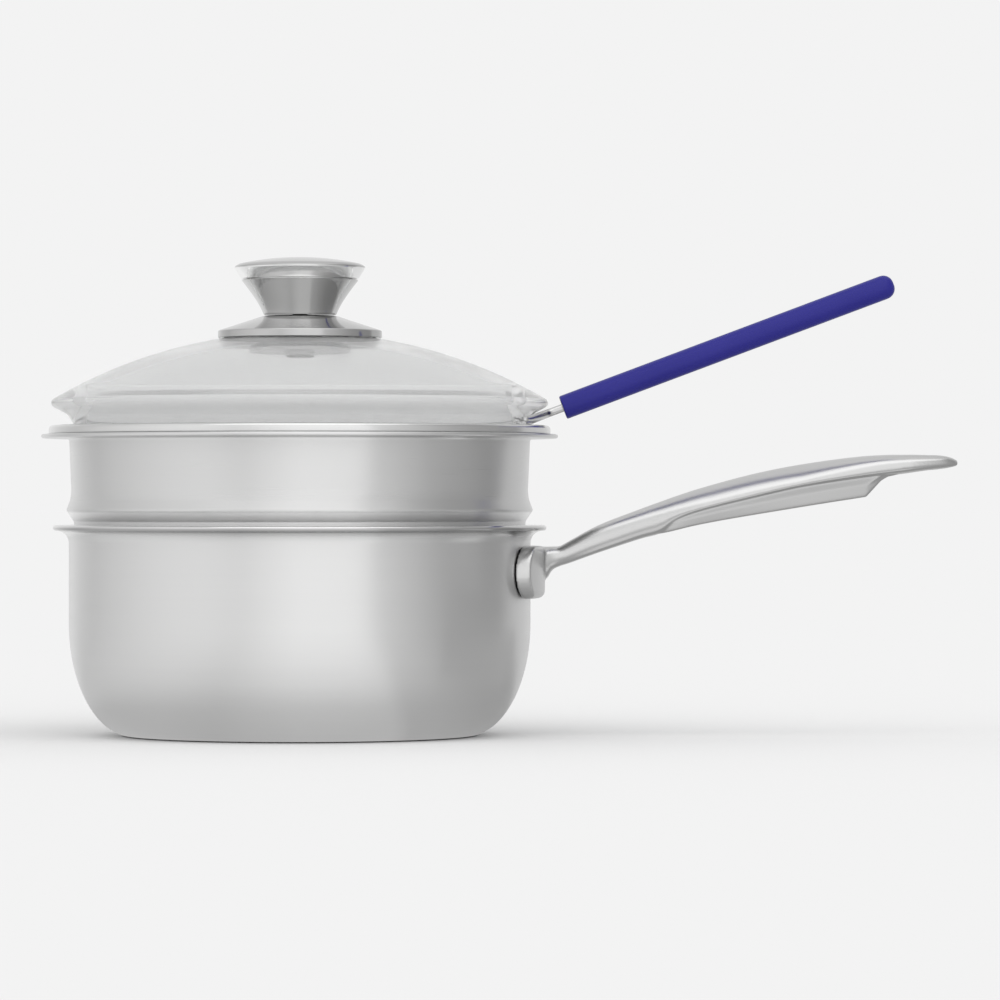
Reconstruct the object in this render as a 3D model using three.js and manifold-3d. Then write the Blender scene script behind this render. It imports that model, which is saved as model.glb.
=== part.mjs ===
// A stainless saucepan with a steamer insert, a wire-handled basket and a glass lid stacked in its mouth.
// Millimetres, +Z up. The origin is the centre of the pan's underside; the handle points along +X.
import * as THREE from "three";
import { mergeVertices } from "three/addons/utils/BufferGeometryUtils.js";
import Module from "manifold-3d";

const wasm = await Module();
wasm.setup();

// Fits and facets
const fitGap = 0.3;
const wideFacets = 32;
const smallFacets = 24;

// Pan
const panBore = 90;
const panWall = 2.2;
const panHeight = 84.2;
const cornerReach = 25;
const cornerRise = 45;
const rimBend = 5;
const rimReach = 6.4;

// Pan handle
const padThickness = 5.5;
const padHeight = 20.8;
const padHalfWidth = 34;
const padBelowRim = 18.8;
const padEdge = 3;
const handleLength = 165;
const handleRise = 47;
const handleHalfWidth = 12;
const keelHalfWidth = 4.3;
const keelEdge = 1.2;
const hangSlotFromTip = 17.4;
const hangSlotCentre = handleLength - hangSlotFromTip;
const hangSlotLength = 15;
const hangSlotWidth = 7;

// Rivets
const rivetRadius = 2.9;
const rivetHeadRadius = 5.5;
const rivetHeadHeight = 1.8;
const rivetSpread = 21;
const rivetDepth = 3.6;

// Steamer insert
const sheet = 0.8;
const neckGrip = 0.2;
const neckHeight = 6.6;
const beadHeight = 10.4;
const beadReach = 3;
const steamerWallHeight = 38.6;
const steamerFlangeReach = 11.2;
const steamerFlangeThickness = 1.6;
const insertDepth = 35.6;
const insertInset = 4;
const insertCorner = 7;
const steamHoleRadius = 3;
const steamHolePitch = 21;
const steamHoleRings = 3;

// Basket
const rollRadius = 1.6;
const basketFlangeReach = 9.1;
const collarClearance = 0.9;
const collarBend = 3.5;
const collarDrop = 12.7;
const netDepth = 44.4;
const netLap = 5.7;
const netThickness = 1.2;
const netTaper = 5.2;
const netColumns = 24;
const netRows = 3;
const netPitch = 20;
const hoopRadius = 1.75;
const wireRadius = 1.6;
const wireSpread = 27;
const wireTail = 4;
const gripStart = 105.2;
const gripRise = 10.35;
const gripLength = 141;
const gripSlope = 20.56;
const gripHeight = 9.6;
const gripWidth = 13.5;

// Lid
const skirtGrip = 0.3;
const skirtHeight = 6;
const skirtFlare = 2.6;
const lipReach = 9.4;
const lipEdge = 2.1;
const glassThickness = 3.6;
const domeRadius = 194;
const lipTop = 12.95;
const glassHole = 4.8;

// Knob
const plateRadius = 32.8;
const plateBand = 3;
const plateRise = 5.9;
const plateWall = 1.6;
const waistRadius = 14.6;
const knobHeight = 23.2;
const seamHeight = 14.2;
const seamRadius = 23.6;
const knobRadius = 26.2;
const knobWall = 2.2;
const screwRadius = 3;
const screwHeadRadius = 6;
const screwHeadHeight = 3;
const gasketThickness = 1.2;
const washerRadius = 20.5;
const washerThickness = 1.4;

// Derived sizes
const panOuter = panBore + panWall;
const rimRadius = panOuter + rimReach;
const bendHeight = panHeight - panWall - rimBend;
const padInner = panOuter + fitGap;
const padOuter = padInner + padThickness;
const padCentre = panHeight - padBelowRim;
const innerBend = rimBend + panWall;
const seatHeight = bendHeight + Math.sqrt(innerBend ** 2 - (innerBend - neckGrip - fitGap) ** 2);
const neckRadius = panBore + neckGrip;
const steamerWall = neckRadius + 1.8;
const insertRadius = panBore - insertInset;
const steamerTop = steamerWallHeight + steamerFlangeThickness + 0.6;
const collarInner = steamerWall - sheet - collarClearance - sheet;
const flangeTop = 2 * rollRadius;
const rollCentre = collarInner + basketFlangeReach;
const collarCentre = flangeTop - collarBend;
const skirtRadius = collarInner + skirtGrip;
const lidSeat = collarCentre + Math.sqrt(collarBend ** 2 - (collarBend - skirtGrip - fitGap) ** 2);
const lidRadius = skirtRadius + lipReach;
const noseRadius = lidRadius - lipEdge;
const domeHeight = lipTop + domeRadius - Math.sqrt(domeRadius ** 2 - noseRadius ** 2);
const glassTop = (r) => domeHeight - domeRadius + Math.sqrt(domeRadius ** 2 - r ** 2);
const glassUnder = (r) => glassTop(0) - domeRadius + Math.sqrt((domeRadius - glassThickness) ** 2 - r ** 2);

// Shape helpers
const at = (r, z) => new THREE.Vector2(r, z);
const turn = Math.PI / 180;

function arc(r, z, radius, from, to, steps, rise = radius) {
  const points = [];
  for (let i = 0; i <= steps; i++) {
    const angle = (from + ((to - from) * i) / steps) * turn;
    points.push(at(r + radius * Math.cos(angle), z + rise * Math.sin(angle)));
  }
  return points;
}

// A body of revolution; a profile that stays off the axis is closed on itself.
function revolve(profile, facets) {
  const onAxis = profile[0].x < 1e-6;
  const points = onAxis ? profile : [...profile, profile[0].clone()];
  return new THREE.LatheGeometry(points, facets).rotateX(Math.PI / 2);
}

function solidOf(geometry) {
  const plain = new THREE.BufferGeometry();
  plain.setAttribute("position", geometry.getAttribute("position").clone());
  if (geometry.index) plain.setIndex(geometry.index.clone());
  const merged = mergeVertices(plain, 1e-4);
  return new wasm.Manifold(
    new wasm.Mesh({
      numProp: 3,
      vertProperties: new Float32Array(merged.getAttribute("position").array),
      triVerts: new Uint32Array(merged.index.array),
    }),
  );
}

function geometryOf(solid) {
  const mesh = solid.getMesh();
  const geometry = new THREE.BufferGeometry();
  geometry.setAttribute("position", new THREE.BufferAttribute(new Float32Array(mesh.vertProperties), 3));
  geometry.setIndex(new THREE.BufferAttribute(new Uint32Array(mesh.triVerts), 1));
  return geometry;
}

// Skins a row of rings, each ring turning anticlockwise about the direction of travel, and caps both ends.
function loft(rings) {
  const count = rings[0].length;
  const positions = [];
  const index = [];
  rings.flat().forEach((p) => positions.push(p.x, p.y, p.z));
  for (let i = 0; i + 1 < rings.length; i++) {
    for (let j = 0; j < count; j++) {
      const a = i * count + j;
      const b = i * count + ((j + 1) % count);
      index.push(a, b, b + count, a, b + count, a + count);
    }
  }
  [rings[0], rings[rings.length - 1]].forEach((ring, end) => {
    const centre = new THREE.Vector3();
    ring.forEach((p) => centre.addScaledVector(p, 1 / count));
    const hub = positions.length / 3;
    positions.push(centre.x, centre.y, centre.z);
    const start = end ? (rings.length - 1) * count : 0;
    for (let j = 0; j < count; j++) {
      const a = start + j;
      const b = start + ((j + 1) % count);
      if (end) index.push(hub, a, b);
      else index.push(hub, b, a);
    }
  });
  const geometry = new THREE.BufferGeometry();
  geometry.setAttribute("position", new THREE.Float32BufferAttribute(positions, 3));
  geometry.setIndex(index);
  return geometry;
}

// A round rod: straight stretches between the corners, with a round bend at each corner.
function rod(corners, radius, bend, sides) {
  const stations = [];
  corners.forEach((corner, i) => {
    if (i === 0 || i === corners.length - 1) {
      const other = corners[i === 0 ? 1 : i - 1];
      const tangent = corner.clone().sub(other).normalize();
      if (i === 0) tangent.negate();
      stations.push({ centre: corner, tangent });
      return;
    }
    const before = corners[i - 1].clone().sub(corner).normalize();
    const after = corners[i + 1].clone().sub(corner).normalize();
    const curve = new THREE.QuadraticBezierCurve3(
      corner.clone().addScaledVector(before, bend),
      corner,
      corner.clone().addScaledVector(after, bend),
    );
    for (let k = 0; k <= 4; k++) {
      stations.push({ centre: curve.getPoint(k / 4), tangent: curve.getTangent(k / 4) });
    }
  });
  const up = new THREE.Vector3(0, 0, 1);
  const rings = stations.map(({ centre, tangent }) => {
    const side = new THREE.Vector3().crossVectors(up, tangent).normalize();
    const over = new THREE.Vector3().crossVectors(tangent, side);
    return Array.from({ length: sides }, (_, k) => {
      const angle = (k / sides) * 2 * Math.PI;
      return centre
        .clone()
        .addScaledVector(side, radius * Math.cos(angle))
        .addScaledVector(over, radius * Math.sin(angle));
    });
  });
  return loft(rings);
}

function look(color, metalness, roughness) {
  return new THREE.MeshStandardMaterial({ color, metalness, roughness });
}
const brushed = () => look(0xbfbfbc, 1, 0.36);
const polished = () => look(0xcfcfcd, 1, 0.12);
const rubber = () => look(0xb9bbba, 0, 0.6);

function piece(name, geometry, material) {
  const mesh = new THREE.Mesh(geometry, material);
  mesh.name = name;
  return mesh;
}

// Pan
function panGeometry() {
  const flat = panOuter - cornerReach;
  const bendCentre = panOuter + rimBend;
  const edge = panWall / 2;
  const profile = [
    at(0, 0),
    ...arc(flat, cornerRise, cornerReach, -90, 0, 7, cornerRise),
    ...arc(bendCentre, bendHeight, rimBend, 180, 90, 3),
    ...arc(rimRadius - edge, panHeight - edge, edge, -90, 90, 4),
    ...arc(bendCentre, bendHeight, innerBend, 90, 180, 4),
    ...arc(flat, cornerRise, cornerReach - panWall, 0, -90, 6, cornerRise - panWall),
    at(0, panWall),
  ];
  const pan = solidOf(revolve(profile, wideFacets));
  return geometryOf(rivetBores().reduce((whole, bore) => whole.subtract(bore), pan));
}

// Rivets run radially through the wall and end inside the pad.
const rivetAngle = rivetSpread / panOuter;

function placeRivet(geometry, side) {
  return geometry.rotateY(Math.PI / 2).rotateZ(side * rivetAngle).translate(0, 0, padCentre);
}

function rivetBores() {
  const reach = padInner + rivetDepth + fitGap;
  return [-1, 1].map((side) => {
    const start = panBore - 4;
    const bore = new THREE.CylinderGeometry(rivetRadius + fitGap, rivetRadius + fitGap, reach - start, 16);
    bore.rotateX(Math.PI / 2).translate(0, 0, (reach + start) / 2);
    return solidOf(placeRivet(bore, side));
  });
}

function rivetGeometry(side) {
  const seat = panBore * Math.cos(Math.PI / wideFacets) - fitGap;
  const tip = padInner + rivetDepth;
  const head = [
    at(0, seat - rivetHeadHeight),
    at(rivetHeadRadius * 0.55, seat - rivetHeadHeight * 0.86),
    at(rivetHeadRadius * 0.88, seat - rivetHeadHeight * 0.5),
    at(rivetHeadRadius, seat),
  ];
  const profile = [...head, at(rivetRadius, seat), at(rivetRadius, tip), at(0, tip)];
  return placeRivet(revolve(profile, 16), side);
}

// Pan handle: a curved pad on the wall, an arched blade, and a keel under it that narrows to its foot.
function handleGeometry() {
  const half = padHeight / 2;
  const ring = revolve(
    [
      at(padInner, -half),
      ...arc(padOuter - padEdge, padEdge - half, padEdge, -90, 0, 3),
      ...arc(padOuter - padEdge / 2, half - padEdge / 2, padEdge / 2, 0, 90, 2),
      at(padInner, half),
    ],
    wideFacets,
  );
  const outline = new THREE.Shape();
  outline.absarc(padHalfWidth - half, 0, half, -Math.PI / 2, Math.PI / 2);
  outline.absarc(half - padHalfWidth, 0, half, Math.PI / 2, Math.PI * 1.5);
  const prism = new THREE.ExtrudeGeometry(outline, { depth: panOuter, bevelEnabled: false, curveSegments: 8 });
  prism.rotateX(Math.PI / 2).rotateZ(Math.PI / 2).translate(panOuter / 2, 0, 0);
  const pad = solidOf(ring).intersect(solidOf(prism)).translate(0, 0, padCentre);

  // Stations along the blade: share of the length; crest, widest line and underside as shares of the rise;
  // share of the half width.
  const stations = [
    [-0.02, 0.214, 0.09, -0.1, 0.7],
    [0.004, 0.216, 0.1, -0.055, 0.58],
    [0.018, 0.218, 0.12, 0.017, 0.5],
    [0.036, 0.222, 0.14, 0.05, 0.45],
    [0.06, 0.268, 0.175, 0.077, 0.44],
    [0.13, 0.4, 0.283, 0.165, 0.47],
    [0.23, 0.536, 0.405, 0.281, 0.58],
    [0.28, 0.6, 0.458, 0.33, 0.65],
    [0.32, 0.65, 0.5, 0.43, 0.71],
    [0.38, 0.718, 0.555, 0.515, 0.79],
    [0.5, 0.832, 0.66, 0.62, 0.89],
    [0.62, 0.916, 0.755, 0.715, 0.96],
    [0.76, 0.982, 0.838, 0.79, 1],
    [0.86, 1, 0.885, 0.83, 0.98],
    [0.91, 1, 0.905, 0.855, 0.88],
    [0.96, 0.991, 0.92, 0.877, 0.66],
    [0.985, 0.972, 0.922, 0.892, 0.42],
    [1, 0.945, 0.924, 0.908, 0.14],
  ];
  // The section is round at the neck, roof-like above the widest line further out, and flat-topped at the slot.
  const rings = stations.map(([along, crest, widest, under, width]) => {
    const arch = THREE.MathUtils.clamp(along / 0.4, 0, 1);
    const flat = THREE.MathUtils.clamp((along - 0.62) / 0.2, 0, 1);
    const roof = 0.9 + 0.4 * arch - 0.55 * flat;
    return Array.from({ length: 16 }, (_, k) => {
      const angle = (k / 16) * 2 * Math.PI;
      const c = Math.cos(angle);
      const s = Math.sin(angle);
      const power = s > 0 ? roof : 0.8;
      const across = handleHalfWidth * width * Math.sign(c) * Math.abs(c) ** power;
      const over = (s > 0 ? crest - widest : under - widest) * Math.abs(s) ** power;
      return new THREE.Vector3(padOuter + handleLength * along, across, padCentre + handleRise * (widest + over));
    });
  });
  const blade = solidOf(loft(rings));

  // Stations along the keel: share of the length; foot and top as shares of the rise; share of the half width.
  const keelStations = [
    [0.2, 0.3, 0.37, 0.46],
    [0.28, 0.327, 0.458, 0.56],
    [0.36, 0.392, 0.537, 0.66],
    [0.43, 0.44, 0.6, 0.72],
    [0.5, 0.482, 0.66, 0.77],
    [0.64, 0.563, 0.768, 0.83],
    [0.778, 0.639, 0.846, 0.86],
    [0.812, 0.775, 0.862, 0.86],
    [0.828, 0.81, 0.87, 0.86],
    [0.85, 0.826, 0.88, 0.85],
  ];
  const keelRings = keelStations.map(([along, foot, top, width]) => {
    const wide = handleHalfWidth * width;
    const low = padCentre + handleRise * foot;
    const high = padCentre + handleRise * top;
    const section = [
      at(wide, high),
      at(-wide, high),
      at(-keelHalfWidth, low + keelEdge),
      at(keelEdge - keelHalfWidth, low),
      at(keelHalfWidth - keelEdge, low),
      at(keelHalfWidth, low + keelEdge),
    ];
    return section.map((p) => new THREE.Vector3(padOuter + handleLength * along, p.x, p.y));
  });
  const keel = solidOf(loft(keelRings));

  const slot = new THREE.Shape();
  const slotHalf = (hangSlotLength - hangSlotWidth) / 2;
  slot.absarc(slotHalf, 0, hangSlotWidth / 2, -Math.PI / 2, Math.PI / 2);
  slot.absarc(-slotHalf, 0, hangSlotWidth / 2, Math.PI / 2, Math.PI * 1.5);
  const cutter = new THREE.ExtrudeGeometry(slot, { depth: 40, bevelEnabled: false, curveSegments: 5 });
  cutter.translate(padOuter + hangSlotCentre, 0, padCentre + handleRise - 20);

  let handle = pad.add(blade).add(keel).subtract(solidOf(cutter));
  const wall = new THREE.CylinderGeometry(padInner, padInner, 60, wideFacets).rotateX(Math.PI / 2);
  wall.rotateZ(Math.PI / 2).translate(0, 0, padCentre);
  handle = handle.subtract(solidOf(wall));
  return geometryOf(rivetBores().reduce((whole, bore) => whole.subtract(bore), handle));
}

// Steamer insert: one drawn sheet, from its flange down to a drilled bottom. Height 0 is its seat in the rim.
function steamerGeometry() {
  const foot = neckRadius + 1;
  const bendR = 1.5;
  const low = insertRadius - 1.5;
  const outside = [
    at(0, -insertDepth),
    ...arc(low - insertCorner, insertCorner - insertDepth, insertCorner, -90, 0, 3),
    at(insertRadius, -9.6),
    at(neckRadius - 1.4, -2.6),
    at(neckRadius, 0),
    at(neckRadius, neckHeight),
    at(neckRadius + beadReach - 0.35, beadHeight - 0.6),
    at(neckRadius + beadReach, beadHeight),
    at(neckRadius + beadReach - 0.7, beadHeight + 2),
    at(foot, beadHeight + 5.6),
    ...arc(steamerWall + bendR, steamerTop - steamerFlangeThickness - bendR, bendR, 180, 90, 2),
  ];
  const edge = steamerFlangeThickness / 2;
  const lip = arc(steamerWall + steamerFlangeReach - edge, steamerTop - edge, edge, -90, 90, 2);
  const inside = [
    ...arc(steamerWall - sheet + 2.3, steamerTop - 2.3, 2.3, 90, 180, 2),
    at(foot - sheet, beadHeight + 5.6),
    at(neckRadius + beadReach - sheet, beadHeight),
    at(neckRadius - sheet, neckHeight),
    at(neckRadius - sheet, 0),
    at(neckRadius - 1.4 - sheet, -2.6),
    at(insertRadius - sheet, -9.6),
    ...arc(low - insertCorner, insertCorner - insertDepth, insertCorner - sheet, 0, -90, 3),
    at(0, sheet - insertDepth),
  ];
  let body = solidOf(revolve([...outside, ...lip, ...inside], wideFacets));
  for (let ring = 0; ring <= steamHoleRings; ring++) {
    const count = ring === 0 ? 1 : ring * 6;
    for (let k = 0; k < count; k++) {
      const angle = (k / count) * 2 * Math.PI;
      const hole = new THREE.CylinderGeometry(steamHoleRadius, steamHoleRadius, 6, 8).rotateX(Math.PI / 2);
      const reach = ring * steamHolePitch;
      hole.translate(reach * Math.cos(angle), reach * Math.sin(angle), -insertDepth);
      body = body.subtract(solidOf(hole));
    }
  }
  return geometryOf(body);
}

// Basket rim: rolled edge, flat flange, and a short collar inside the steamer. Height 0 is the flange it rests on.
function basketRimGeometry() {
  const taper = 1.3;
  return revolve(
    [
      at(collarInner - taper, -collarDrop),
      at(collarInner + sheet - taper, -collarDrop),
      ...arc(collarInner + collarBend, collarCentre, collarBend - sheet, 180, 90, 3),
      ...arc(rollCentre, rollRadius, rollRadius, 150, 450, 7),
      ...arc(collarInner + collarBend, collarCentre, collarBend, 90, 180, 3),
    ],
    wideFacets,
  );
}

const netTop = (collarInner - 0.75) * Math.cos(Math.PI / wideFacets) - fitGap;
const netFoot = netTop - netTaper;
const netHigh = netLap - collarDrop;

// A net on a tapered round wall: bars with columns by rows of gaps between them.
function netWallGeometry() {
  const bar = 2.4;
  const across = netColumns * 2;
  const down = netRows * 2 + 1;
  const tall = netHigh + netDepth;
  const gap = (tall - bar * (netRows + 1)) / netRows;
  const positions = [];
  const index = [];
  let height = 0;
  for (let j = 0; j <= down; j++) {
    const radius = netFoot + (netTaper * height) / tall;
    for (let i = 0; i < across; i++) {
      const share = Math.floor(i / 2) + (i % 2 ? (bar * netColumns) / (2 * Math.PI * netFoot) : 0);
      const angle = (share / netColumns) * 2 * Math.PI;
      [radius, radius - netThickness].forEach((r) => {
        positions.push(r * Math.cos(angle), r * Math.sin(angle), height - netDepth);
      });
    }
    height += j % 2 ? gap : bar;
  }
  const solid = (i, j) => j >= 0 && j < down && (i % 2 === 0 || j % 2 === 0);
  const id = (i, j, inner) => (j * across + ((i + across) % across)) * 2 + inner;
  const quad = (a, b, c, d) => index.push(a, b, c, a, c, d);
  for (let j = 0; j < down; j++) {
    for (let i = 0; i < across; i++) {
      if (!solid(i, j)) continue;
      const k = i + 1;
      const l = j + 1;
      quad(id(i, j, 0), id(k, j, 0), id(k, l, 0), id(i, l, 0));
      quad(id(i, j, 1), id(i, l, 1), id(k, l, 1), id(k, j, 1));
      if (!solid(k % across, j)) quad(id(k, j, 0), id(k, j, 1), id(k, l, 1), id(k, l, 0));
      if (!solid((i + across - 1) % across, j)) quad(id(i, j, 0), id(i, l, 0), id(i, l, 1), id(i, j, 1));
      if (!solid(i, l)) quad(id(i, l, 0), id(k, l, 0), id(k, l, 1), id(i, l, 1));
      if (!solid(i, j - 1)) quad(id(i, j, 0), id(i, j, 1), id(k, j, 1), id(k, j, 0));
    }
  }
  const geometry = new THREE.BufferGeometry();
  geometry.setAttribute("position", new THREE.Float32BufferAttribute(positions, 3));
  geometry.setIndex(index);
  return geometry;
}

// The hoop joins the net's wall and bottom.
const hoopCentre = netFoot - netThickness / 2;
const hoopHeight = -netDepth - fitGap - hoopRadius;

function hoopGeometry() {
  return revolve(arc(hoopCentre, hoopHeight, hoopRadius, 0, 315, 7), wideFacets);
}

function netFloorGeometry() {
  const reach = hoopCentre - hoopRadius - fitGap;
  const gap = netPitch - 2.6;
  const disc = new THREE.CylinderGeometry(reach, reach, netThickness, wideFacets).rotateX(Math.PI / 2);
  let floor = solidOf(disc.rotateZ(Math.PI / 2));
  const span = Math.ceil(reach / netPitch);
  for (let i = -span; i <= span; i++) {
    for (let j = -span; j <= span; j++) {
      const corner = Math.hypot(Math.abs(i * netPitch) + gap / 2, Math.abs(j * netPitch) + gap / 2);
      if (corner > reach - 2) continue;
      const cutter = new THREE.BoxGeometry(gap, gap, netThickness * 3);
      floor = floor.subtract(solidOf(cutter.translate(i * netPitch, j * netPitch, 0)));
    }
  }
  return geometryOf(floor).translate(0, 0, hoopHeight);
}

// Basket handle: two wires from the flange, drawn together inside a plastic grip.
const gripAxis = new THREE.Vector3(Math.cos(gripSlope * turn), 0, Math.sin(gripSlope * turn));
const wireApart = wireRadius + fitGap / 2;

function wireGeometry(side) {
  const footHeight = flangeTop + fitGap + wireRadius;
  const footRadius = collarInner + collarBend + wireRadius + fitGap;
  const footX = Math.sqrt(footRadius ** 2 - wireSpread ** 2);
  const tailX = (wireTail * wireSpread) / footRadius;
  const tailY = (wireTail * footX) / footRadius;
  const start = new THREE.Vector3(gripStart, side * wireApart, gripRise);
  const corners = [
    new THREE.Vector3(footX - tailX, side * (wireSpread + tailY), footHeight),
    new THREE.Vector3(footX, side * wireSpread, footHeight),
    start.clone().addScaledVector(gripAxis, -7),
    start.clone().addScaledVector(gripAxis, gripLength - 12),
  ];
  return rod(corners, wireRadius, wireTail - 0.2, 10);
}

function roundedBar(width, height, facets) {
  const shape = new THREE.Shape();
  const half = (width - height) / 2;
  shape.absarc(half, 0, height / 2, -Math.PI / 2, Math.PI / 2);
  shape.absarc(-half, 0, height / 2, Math.PI / 2, Math.PI * 1.5);
  return shape.extractPoints(facets).shape.slice(0, -1);
}

function gripGeometry() {
  const ends = [
    [0, 0.86],
    [1.6, 1],
    [gripLength - 4, 1],
    [gripLength - 1.2, 0.84],
    [gripLength, 0.5],
  ];
  const rings = ends.map(([along, share]) =>
    roundedBar(gripWidth * share, gripHeight * share, 7).map((p) => new THREE.Vector3(along, p.x, p.y)),
  );
  const hollow = [-1, gripLength - 11].map((along) =>
    roundedBar(2 * (wireApart + wireRadius + fitGap), 2 * (wireRadius + fitGap), 5).map(
      (p) => new THREE.Vector3(along, p.x, p.y),
    ),
  );
  const grip = geometryOf(solidOf(loft(rings)).subtract(solidOf(loft(hollow))));
  return grip.rotateY(-gripSlope * turn).translate(gripStart, 0, gripRise);
}

// Lid: a pressed glass dome with a locating skirt. Height 0 is the foot of the skirt.
function glassGeometry() {
  const slope = Math.asin(noseRadius / domeRadius);
  const noseZ = glassTop(noseRadius) - lipEdge / Math.cos(slope);
  const skirtInner = skirtRadius - 4;
  const dome = [];
  const under = [];
  for (let i = 0; i <= 7; i++) {
    dome.push(at(noseRadius + (glassHole - noseRadius) * (i / 7), 0));
    under.push(at(glassHole + (skirtInner - 1 - glassHole) * (i / 7), 0));
  }
  dome.forEach((p) => p.setY(glassTop(p.x)));
  under.forEach((p) => p.setY(glassUnder(p.x)));
  dome[0].set(noseRadius + lipEdge * Math.sin(slope), noseZ + lipEdge * Math.cos(slope));
  return revolve(
    [
      at(skirtInner + 0.8, 0),
      at(skirtRadius - 0.4, 0),
      at(skirtRadius + 0.2, 0.6),
      at(skirtRadius + skirtFlare, skirtHeight),
      ...arc(noseRadius, noseZ, lipEdge, -68, 90 - slope / turn - 20, 4),
      ...dome,
      ...under,
      at(skirtInner, 0.8),
    ],
    wideFacets,
  );
}

// Knob: a hollow cone plate on the glass, a waisted hollow body on the plate, and a domed cap.
const plateFoot = glassTop(plateRadius) + fitGap;
const plateTop = plateFoot + plateBand + plateRise;

function plateGeometry() {
  const boss = 9;
  const bossFoot = domeHeight + gasketThickness + 2 * fitGap;
  const rim = plateRadius - 2.2;
  const coneSlope = plateRise / (plateRadius - waistRadius);
  const hollow = (r) => plateFoot + plateBand + (plateRadius - r) * coneSlope - plateWall;
  return revolve(
    [
      at(screwRadius + fitGap, bossFoot),
      at(boss, bossFoot),
      at(boss, hollow(boss + 4)),
      at(boss + 4, hollow(boss + 4)),
      at(rim, hollow(rim)),
      at(rim, glassTop(rim) + fitGap),
      at(plateRadius, plateFoot),
      at(plateRadius, plateFoot + plateBand),
      at(waistRadius, plateTop),
      at(screwRadius + fitGap, plateTop),
    ],
    smallFacets,
  );
}

const bodyCurve = new THREE.QuadraticBezierCurve(
  at(waistRadius, 0),
  at(waistRadius + 1.2, seamHeight * 0.32),
  at(seamRadius, seamHeight),
);
const knobFloor = seamHeight * 0.55;

function knobBodyGeometry() {
  const outside = bodyCurve.getPoints(6);
  const inside = [1, 0.85, 0.7].map((t) => bodyCurve.getPoint(t)).map((p) => at(p.x - knobWall, p.y));
  const profile = [
    at(screwRadius + fitGap, 0),
    ...outside,
    ...inside,
    at(inside[2].x - 2, knobFloor),
    at(screwRadius + fitGap, knobFloor),
  ];
  return revolve(profile, smallFacets).translate(0, 0, plateTop + fitGap);
}

function knobCapGeometry() {
  const foot = seamHeight + fitGap;
  const widest = seamHeight + 4.9;
  const plug = seamRadius - knobWall - fitGap - 1.4;
  const profile = [
    at(0, foot + 1.5),
    at(plug - 1.4, foot + 1.5),
    at(plug - 1.4, foot - 2),
    at(plug, foot - 2),
    at(plug, foot),
    at(seamRadius, foot),
    at(knobRadius, widest),
    at(knobRadius - 0.8, widest + 0.8),
    at(knobRadius - 2.6, widest + 1.6),
    at(knobRadius * 0.71, widest + 2.7),
    at(knobRadius * 0.34, knobHeight - 0.3),
    at(0, knobHeight),
  ];
  return revolve(profile, smallFacets).translate(0, 0, plateTop + fitGap);
}

// Soft rings above and below the glass, a dished washer, and the screw that draws the knob down.
function upperGasketGeometry() {
  const foot = domeHeight + fitGap;
  const outer = 8.6;
  return revolve(
    [
      at(glassHole, foot),
      at(outer, foot),
      at(outer, foot + gasketThickness),
      at(glassHole, foot + gasketThickness),
    ],
    smallFacets,
  );
}

function dishedRing(inner, outer, drop, thickness) {
  const middle = (inner + outer) / 2;
  return revolve(
    [
      at(inner, glassUnder(inner) - drop - thickness),
      at(middle, glassUnder(middle) - drop - thickness),
      at(outer, glassUnder(outer) - drop - thickness),
      at(outer, glassUnder(outer) - drop),
      at(middle, glassUnder(middle) - drop),
      at(inner, glassUnder(inner) - drop),
    ],
    smallFacets,
  );
}

const washerDrop = 2 * fitGap + gasketThickness;
const headTop = glassUnder(screwHeadRadius) - washerDrop - washerThickness - fitGap;

function screwGeometry() {
  const tip = plateTop + fitGap + knobFloor - 0.6;
  const profile = [
    at(0, headTop - screwHeadHeight),
    at(screwHeadRadius * 0.72, headTop - screwHeadHeight),
    at(screwHeadRadius, headTop - screwHeadHeight * 0.6),
    at(screwHeadRadius, headTop),
    at(screwRadius, headTop),
    at(screwRadius, tip - 0.8),
    at(screwRadius - 0.8, tip),
    at(0, tip),
  ];
  return revolve(profile, 16);
}

// Assembly
const saucepan = new THREE.Group();
saucepan.name = "saucepan";
saucepan.add(
  piece("pan_body", panGeometry(), brushed()),
  piece("pan_handle", handleGeometry(), polished()),
  piece("rivet_front", rivetGeometry(-1), polished()),
  piece("rivet_rear", rivetGeometry(1), polished()),
);

const steamer = new THREE.Group();
steamer.name = "steamer";
steamer.position.z = seatHeight;
steamer.add(piece("steamer_insert", steamerGeometry(), brushed()));
saucepan.add(steamer);

const basket = new THREE.Group();
basket.name = "basket";
basket.position.z = steamerTop + fitGap;
basket.add(
  piece("basket_rim", basketRimGeometry(), polished()),
  piece("basket_net_wall", netWallGeometry(), brushed()),
  piece("basket_net_floor", netFloorGeometry(), brushed()),
  piece("basket_hoop", hoopGeometry(), brushed()),
  piece("basket_wire_front", wireGeometry(-1), polished()),
  piece("basket_wire_rear", wireGeometry(1), polished()),
  piece("basket_grip", gripGeometry(), look(0x1f1d86, 0, 0.45)),
);
steamer.add(basket);

const lid = new THREE.Group();
lid.name = "lid";
lid.position.z = lidSeat;
lid.add(
  piece("lid_glass", glassGeometry(), look(0xdfe6e6, 0, 0.05)),
  piece("knob_plate", plateGeometry(), polished()),
  piece("knob_body", knobBodyGeometry(), polished()),
  piece("knob_cap", knobCapGeometry(), polished()),
  piece("gasket_upper", upperGasketGeometry(), rubber()),
  piece("gasket_lower", dishedRing(glassHole, washerRadius - 1, fitGap, gasketThickness), rubber()),
  piece("lid_washer", dishedRing(screwRadius + fitGap, washerRadius, washerDrop, washerThickness), brushed()),
  piece("lid_screw", screwGeometry(), polished()),
);
basket.add(lid);

export default saucepan;
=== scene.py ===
"""Looks for a stainless saucepan stacked with a steamer insert, a net basket and a glass lid.

Lengths are in millimetres and become metres where a mesh is made, apart from the studio's, which
are in metres where a comment says so. Heights are above the pan's underside.
"""

import math

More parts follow.
